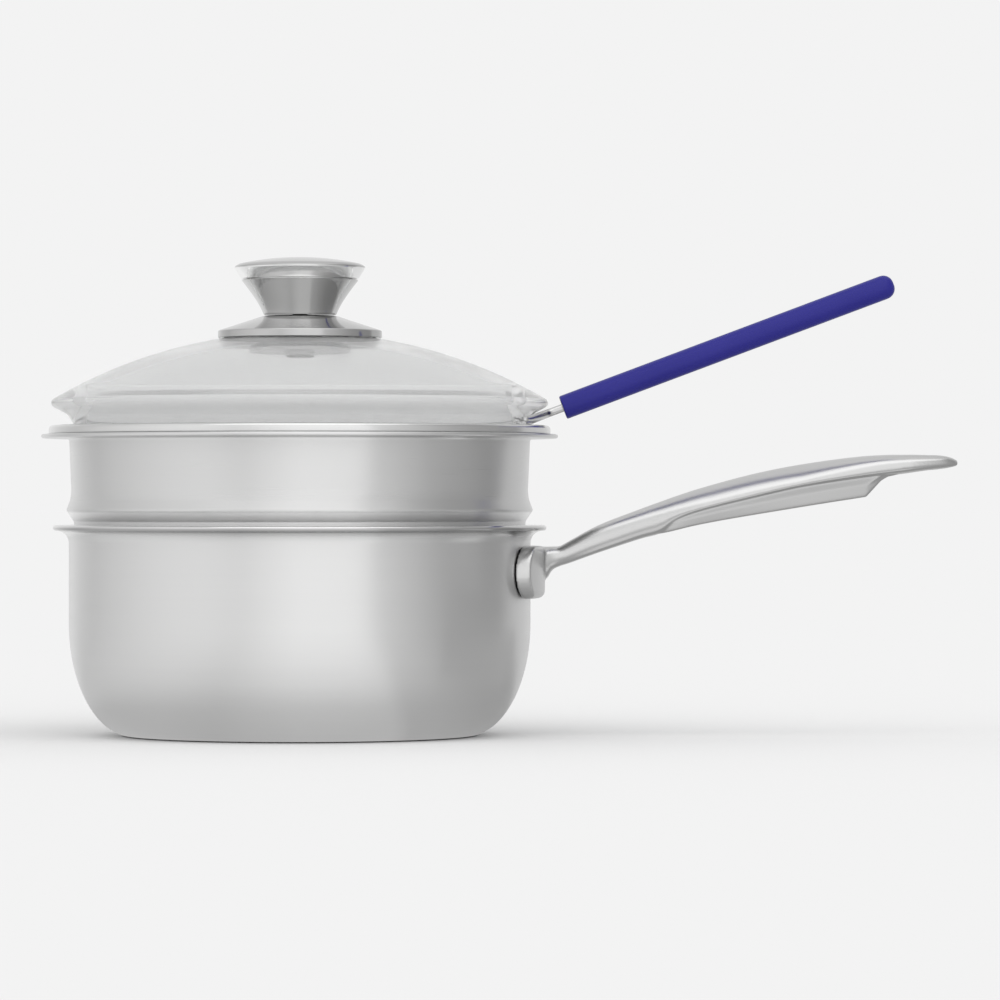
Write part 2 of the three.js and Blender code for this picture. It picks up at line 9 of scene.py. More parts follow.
import bmesh
import bpy
from mathutils import Matrix, Vector


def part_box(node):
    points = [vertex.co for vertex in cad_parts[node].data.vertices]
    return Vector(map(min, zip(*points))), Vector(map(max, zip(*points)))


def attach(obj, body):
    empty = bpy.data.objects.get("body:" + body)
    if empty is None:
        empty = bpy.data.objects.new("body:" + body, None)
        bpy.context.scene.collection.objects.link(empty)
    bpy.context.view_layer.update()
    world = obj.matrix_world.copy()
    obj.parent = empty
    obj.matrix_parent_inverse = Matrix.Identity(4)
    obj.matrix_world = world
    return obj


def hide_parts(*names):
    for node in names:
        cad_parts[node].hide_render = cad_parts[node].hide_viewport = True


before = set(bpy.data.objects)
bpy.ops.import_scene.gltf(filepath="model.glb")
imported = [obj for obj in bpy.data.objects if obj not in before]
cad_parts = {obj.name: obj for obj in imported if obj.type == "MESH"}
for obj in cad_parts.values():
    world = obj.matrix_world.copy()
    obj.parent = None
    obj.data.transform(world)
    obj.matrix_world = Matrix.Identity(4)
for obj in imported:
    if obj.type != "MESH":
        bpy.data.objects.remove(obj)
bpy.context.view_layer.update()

MM = 0.001


def corners(node):
    """A CAD node's lowest and highest corner at rest, in millimetres."""
    low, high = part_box(node)
    return Vector(low) / MM, Vector(high) / MM


# Sizes read from the frame
PAN_HIGH = corners("pan_body")[1]
HANDLE_LOW = corners("pan_handle")[0]
STEAMER_LOW, STEAMER_HIGH = corners("steamer_insert")
RIM_LOW, RIM_HIGH = corners("basket_rim")
NET_LOW, NET_HIGH = corners("basket_net_wall")
HOOP_LOW, HOOP_HIGH = corners("basket_hoop")
GLASS_LOW = corners("lid_glass")[0]
PLATE_LOW, PLATE_HIGH = corners("knob_plate")
KNOB_LOW, KNOB_HIGH = corners("knob_body")
CAP_HIGH = corners("knob_cap")[1]
SCREW_LOW, SCREW_HIGH = corners("lid_screw")

# Sizes shared with the solids
GAP = 0.3
PAN_WALL = 2.2
CORNER_REACH = 25.0
CORNER_RISE = 45.0
RIM_BEND = 5.0
RIM_REACH = 6.4
SHEET = 0.8

# Sides of a turned piece: large, small and smallest
FINE = 176
SMALL = 96
COARSE = 48

# Below this radius a point of a profile lies on the axis
ON_AXIS = 1e-6


# Shader graphs
BUMP_DEPTH = 0.0002
SHEEN_SHARE = 0.55


class Value:
    """A shader socket that takes part in arithmetic: an expression adds the Math nodes it needs."""

    def __init__(self, graph, socket):
        self.graph = graph
        self.socket = socket

    def math(self, operation, *others):
        inputs = dict(enumerate((self,) + others))
        return self.graph.node("ShaderNodeMath", {"operation": operation}, inputs)

    def __add__(self, other):
        return self.math("ADD", other)

    def __radd__(self, other):
        return self.math("ADD", other)

    def __sub__(self, other):
        return self.math("SUBTRACT", other)

    def __rsub__(self, other):
        return self.graph.node("ShaderNodeMath", {"operation": "SUBTRACT"}, {0: other, 1: self})

    def __mul__(self, other):
        return self.math("MULTIPLY", other)

    def step(self, start, end):
        """Nothing before start and one after end, with a smooth slope between."""
        settings = {"interpolation_type": "SMOOTHSTEP"}
        limits = {"Value": self, "From Min": start, "From Max": end}
        return self.graph.node("ShaderNodeMapRange", settings, limits)


class Graph:
    """The nodes of one material or world."""

    def __init__(self, tree):
        self.tree = tree
        tree.nodes.clear()

    def node(self, kind, settings=None, inputs=None, output=0):
        made = self.tree.nodes.new(kind)
        for name, value in (settings or {}).items():
            setattr(made, name, value)
        for name, value in (inputs or {}).items():
            socket = made.inputs[name]
            if isinstance(value, Value):
                self.tree.links.new(value.socket, socket)
            else:
                socket.default_value = value
        return Value(self, made.outputs[output])

    def split(self, vector):
        parts = self.node("ShaderNodeSeparateXYZ", inputs={0: vector}).socket.node
        return [Value(self, out) for out in parts.outputs]

    def vector(self, x, y, z):
        return self.node("ShaderNodeCombineXYZ", inputs={0: x, 1: y, 2: z})

    def noise(self, vector, scale, detail=2.0, roughness=0.5):
        inputs = {"Vector": vector, "Scale": scale, "Detail": detail, "Roughness": roughness}
        return self.node("ShaderNodeTexNoise", inputs=inputs)

    def mix(self, factor, first, second):
        inputs = {0: factor, 6: first, 7: second}
        return self.node("ShaderNodeMix", {"data_type": "RGBA"}, inputs, output=2)

    def end(self, kind, shader):
        out = self.tree.nodes.new(kind)
        self.tree.links.new(shader.socket, out.inputs["Surface"])


def surface(name, build):
    """A material whose graph comes from build(graph), which returns its Principled shader's inputs."""
    material = bpy.data.materials.new(name)
    material.use_nodes = True
    graph = Graph(material.node_tree)
    shader = graph.node("ShaderNodeBsdfPrincipled", inputs=build(graph))
    graph.end("ShaderNodeOutputMaterial", shader)
    return material


def object_point(graph):
    return graph.node("ShaderNodeTexCoord", output=3)


def bump(graph, height, strength):
    inputs = {"Height": height, "Strength": strength, "Distance": BUMP_DEPTH}
    return graph.node("ShaderNodeBump", inputs=inputs)


def between(z, low, high, fade):
    """One between two heights in millimetres, fading to nothing above and below them."""
    return z.step((low - fade) * MM, low * MM) * (1 - z.step(high * MM, (high + fade) * MM))


def brushed(graph, base, rough, smooth=None, band=None, grey=None):
    """Steel brushed round its own axis in fine rings.

    By height it can have a smoother stretch and a band painted in another grey: darker for painted shade,
    lighter for a painted highlight.
    """
    point = object_point(graph)
    x, y, z = graph.split(point)
    reach = (x * x + y * y).math("SQRT")
    fine_grain = graph.vector(x * 14, y * 14, (z + reach) * 5200)
    broad_grain = graph.vector(x * 6, y * 6, (z + reach) * 260)
    rings = graph.noise(fine_grain, scale=1.0, detail=3.0, roughness=0.62)
    broad = graph.noise(broad_grain, scale=1.0)
    smears = graph.noise(point, scale=34.0, detail=3.0)
    roughness = rough + (rings - 0.5) * 0.16 + (broad - 0.5) * 0.07 + (smears - 0.5) * 0.05
    dark = tuple(c * 0.93 for c in base) + (1.0,)
    colour = graph.mix((broad + rings) * 0.5, dark, base + (1.0,))
    if smooth:
        roughness = roughness * (1 - between(z, *smooth) * SHEEN_SHARE)
    # Painted band: a darker grey is painted shade, a lighter grey a painted highlight
    if band:
        colour = graph.mix(between(z, *band), colour, (grey, grey, grey, 1.0))
    return {
        "Base Color": colour,
        "Metallic": 1.0,
        "Roughness": roughness,
        "Anisotropic": 0.85,
        "Anisotropic Rotation": 0.25,
        "Normal": bump(graph, rings, strength=0.05),
    }


def polished(graph, base, rough, light=None):
    """Polished steel with faint wiping marks and a little haze. It can have a painted highlight: a
    lighter band by height.
    """
    point = object_point(graph)
    haze = graph.noise(point, scale=60.0, detail=4.0, roughness=0.6)
    marks = graph.noise(point, scale=900.0)
    dark = tuple(c * 0.95 for c in base) + (1.0,)
    colour = graph.mix(haze, dark, base + (1.0,))
    # Painted highlight: a near-white band of steel by height
    if light:
        z = graph.split(point)[2]
        colour = graph.mix(between(z, *light), colour, PAINTED_HIGHLIGHT_GREY)
    return {
        "Base Color": colour,
        "Metallic": 1.0,
        "Roughness": rough + (haze - 0.5) * 0.07,
        "Normal": bump(graph, marks, strength=0.015),
    }


def vinyl(graph):
    """Soft blue plastic with a fine dipped skin."""
    point = object_point(graph)
    skin = graph.noise(point, scale=1500.0)
    cloud = graph.noise(point, scale=45.0, detail=3.0)
    return {
        "Base Color": graph.mix(cloud, (0.012, 0.011, 0.2, 1.0), (0.018, 0.016, 0.235, 1.0)),
        "Roughness": 0.4 + (cloud - 0.5) * 0.14,
        "Specular IOR Level": 0.25,
        "Normal": bump(graph, skin, strength=0.06),
    }


def glass(graph):
    """Pressed glass, a little milky, with faint wiping marks."""
    wipe = graph.noise(object_point(graph), scale=40.0, detail=3.0)
    return {
        "Base Color": (0.892, 0.895, 0.894, 1.0),
        "Roughness": wipe.step(0.45, 0.9) * 0.05,
        "IOR": 1.06,
        "Transmission Weight": 0.8,
        "Coat Weight": 0.1,
        "Coat IOR": 1.5,
        "Coat Roughness": 0.03,
    }


def soft_ring(graph):
    """Grey silicone with a matt grain."""
    point = object_point(graph)
    grain = graph.noise(point, scale=700.0, detail=3.0)
    cloud = graph.noise(point, scale=80.0)
    return {
        "Base Color": graph.mix(cloud, (0.3, 0.31, 0.31, 1.0), (0.4, 0.41, 0.41, 1.0)),
        "Roughness": 0.55 + (grain - 0.5) * 0.12,
        "Normal": bump(graph, grain, strength=0.1),
    }


# Colours of the steels
STEEL = (0.71, 0.71, 0.708)
INSERT_STEEL = (0.67, 0.67, 0.668)
SATIN = (0.6, 0.6, 0.598)
MIRROR = (0.66, 0.66, 0.657)
DARK_MIRROR = (0.52, 0.52, 0.518)
# Grey of painted highlights on steel
PAINTED_HIGHLIGHT_GREY = (0.98, 0.98, 0.978, 1.0)

# Stretches by height: from, to and fade
RIM_SHEEN = (82.0, 90.0, 3.0)
# Painted shade: a dark grey line just under the pan's rim
RIM_PAINTED_SHADE = (81.9, 82.8, 0.8)
NECK_SHEEN = (30.0, 83.0, 2.0)
# Painted highlight: a near-white band on the flank of the steamer's bead
NECK_PAINTED_HIGHLIGHT = (86.2, 88.9, 1.1)
# Painted highlight: a lighter band on the cap's underside, from the seam up to just below its widest edge
CAP_PAINTED_HIGHLIGHT = (KNOB_HIGH.z, CAP_HIGH.z - 4.6, 0.8)

# Materials
# The pan's steel carries a painted shade line under its rim
PAN_STEEL = surface(
    "pan_brushed_steel_painted_shade",
    lambda g: brushed(g, STEEL, rough=0.33, smooth=RIM_SHEEN, band=RIM_PAINTED_SHADE, grey=0.4),
)
# The steamer's steel carries a painted highlight band on its bead
STEAMER_STEEL = surface(
    "steamer_brushed_steel_painted_highlight",
    lambda g: brushed(g, INSERT_STEEL, rough=0.31, smooth=NECK_SHEEN, band=NECK_PAINTED_HIGHLIGHT, grey=0.98),
)
RIM_STEEL = surface("basket_rim_steel", lambda g: brushed(g, STEEL, rough=0.2))
WIRE_STEEL = surface("drawn_wire_steel", lambda g: polished(g, SATIN, rough=0.26))
HANDLE_STEEL = surface("handle_satin_steel", lambda g: polished(g, SATIN, rough=0.29))
PLATE_STEEL = surface("plate_mirror_steel", lambda g: polished(g, DARK_MIRROR, rough=0.12))
KNOB_STEEL = surface("knob_mirror_steel", lambda g: polished(g, MIRROR, rough=0.12))
# The cap's steel carries a painted highlight band on its underside
CAP_STEEL = surface("cap_mirror_steel_painted_highlight", lambda g: polished(g, DARK_MIRROR, rough=0.12, light=CAP_PAINTED_HIGHLIGHT))
VINYL = surface("blue_vinyl", vinyl)
GLASS = surface("lid_glass", glass)
SOFT_RING = surface("grey_silicone", soft_ring)


# Mesh helpers
def arc(r, z, radius, start, end, steps, rise=None):
    """Points of a profile on a circle, or on an ellipse when rise is given; angles in degrees."""
    tall = radius if rise is None else rise
    angles = [math.radians(start + (end - start) * i / steps) for i in range(steps + 1)]
    return [(r + radius * math.cos(a), z + tall * math.sin(a)) for a in angles]


def curve(start, pull, end, steps):
    """Points of a quadratic curve from start to end."""
    points = []
    for i in range(steps + 1):
        t = i / steps
        shares = ((1 - t) ** 2, 2 * t * (1 - t), t * t)
        columns = zip(start, pull, end)
        points.append(tuple(sum(s * c for s, c in zip(shares, column)) for column in columns))
    return points


def new_mesh(name, verts, faces):
    mesh = bpy.data.meshes.new(name)
    mesh.from_pydata([tuple(c * MM for c in v) for v in verts], [], faces)
    mesh.validate()
    return mesh


def placed(name, mesh):
    """A new object in the scene."""
    made = bpy.data.objects.new(name, mesh)
    bpy.context.scene.collection.objects.link(made)
    return made


def piece(name, mesh, body, nodes, material, crease=38):
    """Puts a mesh in the scene as the looks of CAD nodes; edges over crease degrees are sharp."""
    made = placed(name, mesh)
    mesh.polygons.foreach_set("use_smooth", [True] * len(mesh.polygons))
    mesh.set_sharp_from_angle(angle=math.radians(crease))
    mesh.materials.clear()
    mesh.materials.append(material)
    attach(made, body)
    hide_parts(*nodes)


def turned(name, profile, sides):
    """A mesh of revolution about Z. A profile that starts and ends on the axis is closed there."""
    starts_on_axis = profile[0][0] < ON_AXIS
    verts, faces, rows = [], [], []
    for r, z in profile:
        if r < ON_AXIS:
            rows.append([len(verts)])
            verts.append((0.0, 0.0, z))
            continue
        rows.append(list(range(len(verts), len(verts) + sides)))
        for k in range(sides):
            angle = 2 * math.pi * k / sides
            verts.append((r * math.cos(angle), r * math.sin(angle), z))
    pairs = list(zip(rows, rows[1:]))
    if not starts_on_axis:
        pairs.append((rows[-1], rows[0]))
    for low, high in pairs:
        for k in range(sides):
            n = (k + 1) % sides
            if len(low) == 1:
                faces.append((low[0], high[n], high[k]))
            elif len(high) == 1:
                faces.append((low[k], low[n], high[0]))
            else:
                faces.append((low[k], low[n], high[n], high[k]))
    return new_mesh(name, verts, faces)


def swept(verts, faces, path, radius, sides, closed=False):
    """Adds a round wire along a path to a list of points and faces.

    The radius is one number, or a list with one for each point of the path.
    """
    radii = radius if isinstance(radius, list) else [radius] * len(path)
    first = len(verts)
    count = len(path)
    side = None
    for i, point in enumerate(path):
        after = path[(i + 1) % count] if closed else path[min(i + 1, count - 1)]
        before = path[i - 1] if closed or i else path[0]
        along = (after - before).normalized()
        if side is None:
            helper = Vector((0, 0, 1)) if abs(along.z) < 0.9 else Vector((1, 0, 0))
            side = helper.cross(along).normalized()
        side = (side - along * side.dot(along)).normalized()
        over = along.cross(side)
        for k in range(sides):
            angle = 2 * math.pi * k / sides
            verts.append(tuple(point + (side * math.cos(angle) + over * math.sin(angle)) * radii[i]))
    rings = count if closed else count - 1
    for i in range(rings):
        a, b = first + i * sides, first + ((i + 1) % count) * sides
        for k in range(sides):
            n = (k + 1) % sides
            faces.append((a + k, a + n, b + n, b + k))
    if not closed:
        faces.append(tuple(first + k for k in reversed(range(sides))))
        last = first + (count - 1) * sides
        faces.append(tuple(last + k for k in range(sides)))


def baked(made):
    """The mesh of an object with its modifiers applied."""
    graph = bpy.context.evaluated_depsgraph_get()
    mesh = bpy.data.meshes.new_from_object(made.evaluated_get(graph))
    bpy.data.objects.remove(made)
    return mesh


def cut(mesh, tool_mesh, operation="DIFFERENCE"):
    """A mesh after a boolean with another."""
    body = placed("cut_body", mesh)
    tool = placed("cut_tool", tool_mesh)
    modifier = body.modifiers.new("cut", "BOOLEAN")
    modifier.operation = operation
    modifier.solver = "EXACT"
    modifier.object = tool
    result = baked(body)
    bpy.data.objects.remove(tool)
    return result


def round_bars(name, bars, sides):
    """One mesh of separate round bars, each given by its two end points and radius."""
    verts, faces = [], []
    for start, end, radius in bars:
        swept(verts, faces, [Vector(start), Vector(end)], radius, sides)
    return new_mesh(name, verts, faces)


# Pan
PAN_RADIUS = PAN_HIGH.x - RIM_REACH
PAN_BORE = PAN_RADIUS - PAN_WALL
BEND_HEIGHT = PAN_HIGH.z - PAN_WALL - RIM_BEND


def pan_profile():
    flat = PAN_RADIUS - CORNER_REACH
    bend = PAN_RADIUS + RIM_BEND
    edge = PAN_WALL / 2
    inside = CORNER_REACH - PAN_WALL
    return [
        (0.0, 0.0),
        *arc(flat, CORNER_RISE, CORNER_REACH, -90, 0, 26, CORNER_RISE),
        *arc(bend, BEND_HEIGHT, RIM_BEND, 180, 90, 9),
        *arc(PAN_HIGH.x - edge, PAN_HIGH.z - edge, edge, -90, 90, 10),
        *arc(bend, BEND_HEIGHT, RIM_BEND + PAN_WALL, 90, 180, 12),
        *arc(flat, CORNER_RISE, inside, 0, -90, 22, CORNER_RISE - PAN_WALL),
        (0.0, PAN_WALL),
    ]


def build_pan():
    mesh = turned("pan", pan_profile(), FINE)
    piece("pan", mesh, "pan", ["pan_body"], PAN_STEEL)


# Rivets, pushed outwards through the wall into the pad
RIVET_RADIUS = 2.9
RIVET_HEAD = 5.5
RIVET_HEAD_HEIGHT = 1.8
RIVET_HEAD_EDGE = 0.5
RIVET_BITE = 3.6
RIVET_SPREAD = 21.0
PAD_HEIGHT = 20.8
PAD_THICKNESS = 5.5
PAD_HALF_WIDTH = 34.0
PAD_CENTRE = HANDLE_LOW.z + PAD_HEIGHT / 2
PAD_INNER = PAN_RADIUS + GAP
PAD_OUTER = PAD_INNER + PAD_THICKNESS


def build_rivets():
    seat = PAN_BORE - 2 * GAP
    crown = seat - RIVET_HEAD_HEIGHT
    tip = PAD_INNER + RIVET_BITE
    profile = [
        (0.0, crown),
        *curve((0.6, crown), (4.6, crown), (RIVET_HEAD, seat - RIVET_HEAD_EDGE), 8),
        (RIVET_HEAD, seat),
        (RIVET_RADIUS, seat),
        (RIVET_RADIUS, tip),
        (0.0, tip),
    ]
    lay = Matrix.Rotation(math.pi / 2, 4, "Y")
    lift = Matrix.Translation((0, 0, PAD_CENTRE * MM))
    for name, side in (("rivet_front", -1), ("rivet_rear", 1)):
        mesh = turned(name, profile, COARSE)
        mesh.transform(lift @ (Matrix.Rotation(side * RIVET_SPREAD / PAN_RADIUS, 4, "Z") @ lay))
        piece(name + "_turned", mesh, "pan", [name], HANDLE_STEEL)


# Pan handle: pad, blade and keel made apart, then grown together as one casting
HANDLE_LENGTH = 165.0
HANDLE_RISE = 47.0
HANDLE_HALF_WIDTH = 12.0
KEEL_HALF_WIDTH = 4.3
KEEL_EDGE = 1.2
KEEL_SWELL = 0.35
KEEL_SLOPE = 0.55
SLOT_CENTRE = 147.6
SLOT_LENGTH = 15.0
SLOT_WIDTH = 7.0
SLOT_REACH = 20.0
PAD_EDGE = 3.0
CASTING_GRAIN = 0.45
CASTING_ROUNDS = 12

# The blade's section: points round it, powers of its curves, and shares of the length where they change
BLADE_SIDES = 56
NECK_POWER = 0.9
ROOF_GAIN = 0.4
FLAT_LOSS = 0.55
BELLY_POWER = 0.8
ROOF_FULL = 0.4
FLAT_START = 0.62
FLAT_STRETCH = 0.2

# Share of the length; crest, widest line and underside as shares of the rise; share of the half width
BLADE = (
    (-0.02, 0.214, 0.09, -0.1, 0.7),
    (0.004, 0.216, 0.1, -0.055, 0.58),
    (0.018, 0.218, 0.12, 0.017, 0.5),
    (0.036, 0.222, 0.14, 0.05, 0.45),
    (0.06, 0.268, 0.175, 0.077, 0.44),
    (0.13, 0.4, 0.283, 0.165, 0.47),
    (0.23, 0.536, 0.405, 0.281, 0.58),
    (0.28, 0.6, 0.458, 0.33, 0.65),
    (0.32, 0.65, 0.5, 0.43, 0.71),
    (0.38, 0.718, 0.555, 0.515, 0.79),
    (0.5, 0.832, 0.66, 0.62, 0.89),
    (0.62, 0.916, 0.755, 0.715, 0.96),
    (0.76, 0.982, 0.838, 0.79, 1.0),
    (0.86, 1.0, 0.885, 0.83, 0.98),
    (0.91, 1.0, 0.905, 0.855, 0.88),
    (0.96, 0.991, 0.92, 0.877, 0.66),
    (0.985, 0.972, 0.922, 0.892, 0.42),
    (1.0, 0.945, 0.924, 0.908, 0.14),
)

# Share of the length; foot and top of the keel as shares of the rise; share of the half width
KEEL = (
    (0.2, 0.3, 0.37, 0.46),
    (0.28, 0.327, 0.458, 0.56),
    (0.36, 0.392, 0.537, 0.66),
    (0.43, 0.44, 0.6, 0.72),
    (0.5, 0.482, 0.66, 0.77),
    (0.64, 0.563, 0.768, 0.83),
    (0.778, 0.639, 0.846, 0.86),
)
# The hollowed heel goes on from the keel's last row
HEEL = (
    (0.812, 0.775, 0.862, 0.86),
    (0.828, 0.81, 0.87, 0.86),
    (0.85, 0.826, 0.88, 0.85),
)
HEEL_START = KEEL[-1][0]
HEEL_FOOT = KEEL[-1][1]


def smooth_step(before, start, end, after, t):
    """A value at share t of the way from start to end, on a smooth curve through all four."""
    square = 2 * before - 5 * start + 4 * end - after
    cube = 3 * start - before - 3 * end + after
    return 0.5 * (2 * start + (end - before) * t + square * t * t + cube * t**3)


def smooth_rows(rows, steps):
    """Rows between the given ones, on smooth curves through them."""
    made = []
    last = len(rows) - 1
    for i in range(last):
        near = [rows[min(max(i + k, 0), last)] for k in (-1, 0, 1, 2)]
        for step in range(steps):
            made.append(tuple(smooth_step(*values, step / steps) for values in zip(*near)))
    made.append(rows[-1])
    return made


def clamped(share):
    return min(max(share, 0.0), 1.0)


def skinned(verts, faces, rings):
    """Adds a closed skin over a row of rings to a list of points and faces."""
    first, count = len(verts), len(rings[0])
    for ring in rings:
        verts.extend(ring)
    for i in range(len(rings) - 1):
        for k in range(count):
            n = (k + 1) % count
            a, b = first + i * count, first + (i + 1) * count
            faces.append((a + k, a + n, b + n, b + k))
    faces.append(tuple(first + k for k in reversed(range(count))))
    last = first + (len(rings) - 1) * count
    faces.append(tuple(last + k for k in range(count)))


def blade_mesh():
    """The section is round at the neck, roof-like further out and flat-topped at the slot."""
    verts, faces, rings = [], [], []
    for along, crest, widest, under, width in smooth_rows(BLADE, 5):
        arch = clamped(along / ROOF_FULL)
        flat = clamped((along - FLAT_START) / FLAT_STRETCH)
        roof = NECK_POWER + ROOF_GAIN * arch - FLAT_LOSS * flat
        ring = []
        for k in range(BLADE_SIDES):
            angle = 2 * math.pi * k / BLADE_SIDES
            c, s = math.cos(angle), math.sin(angle)
            end, power = (crest, roof) if s > 0 else (under, BELLY_POWER)
            across = HANDLE_HALF_WIDTH * width * math.copysign(abs(c) ** power, c)
            rise = widest + (end - widest) * abs(s) ** power
            ring.append((PAD_OUTER + HANDLE_LENGTH * along, across, PAD_CENTRE + HANDLE_RISE * rise))
        rings.append(ring)
    skinned(verts, faces, rings)
    return new_mesh("blade", verts, faces)


def prism(name, outline, start, end, place):
    """A straight prism: place(u, v, w) puts a point of the outline (u, v) at depth w."""
    return solid_between(name, [[place(u, v, w) for u, v in outline] for w in (start, end)])


def solid_between(name, rings):
    """A closed mesh over a row of rings, with its faces turned outwards."""
    verts, faces = [], []
    skinned(verts, faces, rings)
    mesh = new_mesh(name, verts, faces)
    form = bmesh.new()
    form.from_mesh(mesh)
    bmesh.ops.recalc_face_normals(form, faces=form.faces)
    form.to_mesh(mesh)
    form.free()
    return mesh


def obround(half_length, half_width, steps):
    """A long outline with round ends."""
    straight = half_length - half_width
    return [
        *arc(straight, 0, half_width, -90, 90, steps),
        *arc(-straight, 0, half_width, 90, 270, steps),
    ]


def heel_hollow(along, foot):
    """How far the heel's foot stands above the line that the keel's foot would go on along."""
    if along <= HEEL_START:
        return 0.0
    return max(0.0, foot - HEEL_FOOT - KEEL_SLOPE * (along - HEEL_START)) * HANDLE_RISE


def keel_mesh():
    """The keel narrows from the blade's edges down to its foot and ends in a hollowed heel."""
    rings = []
    for along, foot, top, width in (*smooth_rows(KEEL, 4), *HEEL):
        x = PAD_OUTER + HANDLE_LENGTH * along
        low, high = PAD_CENTRE + HANDLE_RISE * foot, PAD_CENTRE + HANDLE_RISE * top
        wide = HANDLE_HALF_WIDTH * width
        hollow = heel_hollow(along, foot)
        side = KEEL_HALF_WIDTH + (wide - KEEL_HALF_WIDTH) * hollow / (high - low + hollow)
        middle = ((side + wide) / 2 + KEEL_SWELL, (low + high) / 2)
        right = [(side - KEEL_EDGE, low), (side, low + KEEL_EDGE), middle, (wide, high)]
        left = [(-y, z) for y, z in reversed(right)]
        rings.append([(x, y, z) for y, z in right + left])
    return solid_between("keel", rings)


def pad_mesh():
    """The pad is the part of a ring round the wall that lies inside a long rounded outline."""
    half = PAD_HEIGHT / 2
    edge = PAD_EDGE
    profile = [
        (PAD_INNER, PAD_CENTRE - half),
        *arc(PAD_OUTER - edge, PAD_CENTRE - half + edge, edge, -90, 0, 6),
        *arc(PAD_OUTER - edge / 2, PAD_CENTRE + half - edge / 2, edge / 2, 0, 90, 4),
        (PAD_INNER, PAD_CENTRE + half),
    ]
    ring = turned("pad_ring", profile, FINE)
    outline = obround(PAD_HALF_WIDTH, half, 16)
    start, end = PAN_RADIUS / 2, PAD_OUTER + PAD_THICKNESS
    block = prism("pad_block", outline, start, end, lambda u, v, w: (w, u, PAD_CENTRE + v))
    return cut(ring, block, "INTERSECT")


def grown(meshes, grain, rounds):
    """One casting from overlapping meshes: grown together on a fine grid, then smoothed."""
    form = bmesh.new()
    for mesh in meshes:
        form.from_mesh(mesh)
    joined = bpy.data.meshes.new("casting")
    form.to_mesh(joined)
    form.free()
    made = placed("casting", joined)
    remesh = made.modifiers.new("grow", "REMESH")
    remesh.mode = "VOXEL"
    remesh.voxel_size = grain * MM
    smooth = made.modifiers.new("smooth", "SMOOTH")
    smooth.factor = 0.5
    smooth.iterations = rounds
    return baked(made)


def build_handle():
    slot_outline = obround(SLOT_LENGTH / 2, SLOT_WIDTH / 2, 10)
    slot_x = PAD_OUTER + SLOT_CENTRE
    slot_z = PAD_CENTRE + HANDLE_RISE
    start, end = slot_z - SLOT_REACH, slot_z + SLOT_REACH
    slot = prism("slot", slot_outline, start, end, lambda u, v, w: (slot_x + u, v, w))
    blade = cut(blade_mesh(), slot)
    mesh = grown([blade, keel_mesh(), pad_mesh()], CASTING_GRAIN, CASTING_ROUNDS)
    piece("handle_casting", mesh, "pan", ["pan_handle"], HANDLE_STEEL, crease=60)


# Steamer insert
NECK_RADIUS = PAN_BORE + 0.2
STEAMER_WALL = NECK_RADIUS + 1.8
STEAMER_FLANGE = 1.6
INSERT_RADIUS = PAN_BORE - 4.0
INSERT_CORNER = 7.0
INSERT_DEPTH = 35.6
INSERT_TAPER = 1.5
SEAT = STEAMER_LOW.z + INSERT_DEPTH
FLANGE_BEND = 1.5
FLANGE_INSIDE_BEND = 2.3
STEAM_HOLE = 3.0
STEAM_HOLE_PITCH = 21.0
STEAM_HOLE_RINGS = 3
DRILL_REACH = 3.0


def steamer_wall(inset):
    """The wall from the bottom corner up to the flange's bend, set in by inset for its inside."""
    neck, s = NECK_RADIUS, SEAT
    corner = INSERT_RADIUS - INSERT_TAPER - INSERT_CORNER
    points = [
        *arc(corner, STEAMER_LOW.z + INSERT_CORNER, INSERT_CORNER - inset, -90, 0, 10),
        (INSERT_RADIUS - inset, s - 9.6),
    ]
    shoulder = curve((INSERT_RADIUS + 0.6, s - 8.0), (neck - 1.6, s - 3.0), (neck - 0.4, s - 1.0), 5)
    seat = curve((neck - 0.1, s - 0.4), (neck, s), (neck, s + 0.6), 3)
    neck_top = curve((neck, s + 5.6), (neck, s + 6.0), (neck + 0.2, s + 6.3), 5)
    bead_foot = (neck + 1.4, s + 8.1)
    bead = curve((neck + 2.6, s + 9.9), (neck + 3.05, s + 10.5), (neck + 2.7, s + 11.3), 8)
    above_bead = curve((neck + 1.7, s + 14.0), (neck + 1.1, s + 15.6), (neck + 1.0, s + 18.5), 8)
    stretches = [*shoulder, *seat, *neck_top, bead_foot, *bead, *above_bead]
    return points + [(r - inset, z) for r, z in stretches]


def build_steamer():
    foot, top = STEAMER_LOW.z, STEAMER_HIGH.z
    edge = STEAMER_FLANGE / 2
    bend, inside_bend = FLANGE_BEND, FLANGE_INSIDE_BEND
    profile = [
        (0.0, foot),
        *steamer_wall(0.0),
        *arc(STEAMER_WALL + bend, top - STEAMER_FLANGE - bend, bend, 180, 90, 6),
        *arc(STEAMER_HIGH.x - edge, top - edge, edge, -90, 90, 8),
        *arc(STEAMER_WALL - SHEET + inside_bend, top - inside_bend, inside_bend, 90, 180, 7),
        *reversed(steamer_wall(SHEET)),
        (0.0, foot + SHEET),
    ]
    drills = []
    for ring in range(STEAM_HOLE_RINGS + 1):
        count = max(1, ring * 6)
        reach = ring * STEAM_HOLE_PITCH
        for k in range(count):
            angle = 2 * math.pi * k / count
            x, y = reach * math.cos(angle), reach * math.sin(angle)
            drills.append(((x, y, foot - DRILL_REACH), (x, y, foot + DRILL_REACH), STEAM_HOLE))
    mesh = cut(turned("steamer", profile, FINE), round_bars("drills", drills, 28))
    piece("steamer", mesh, "steamer", ["steamer_insert"], STEAMER_STEEL)


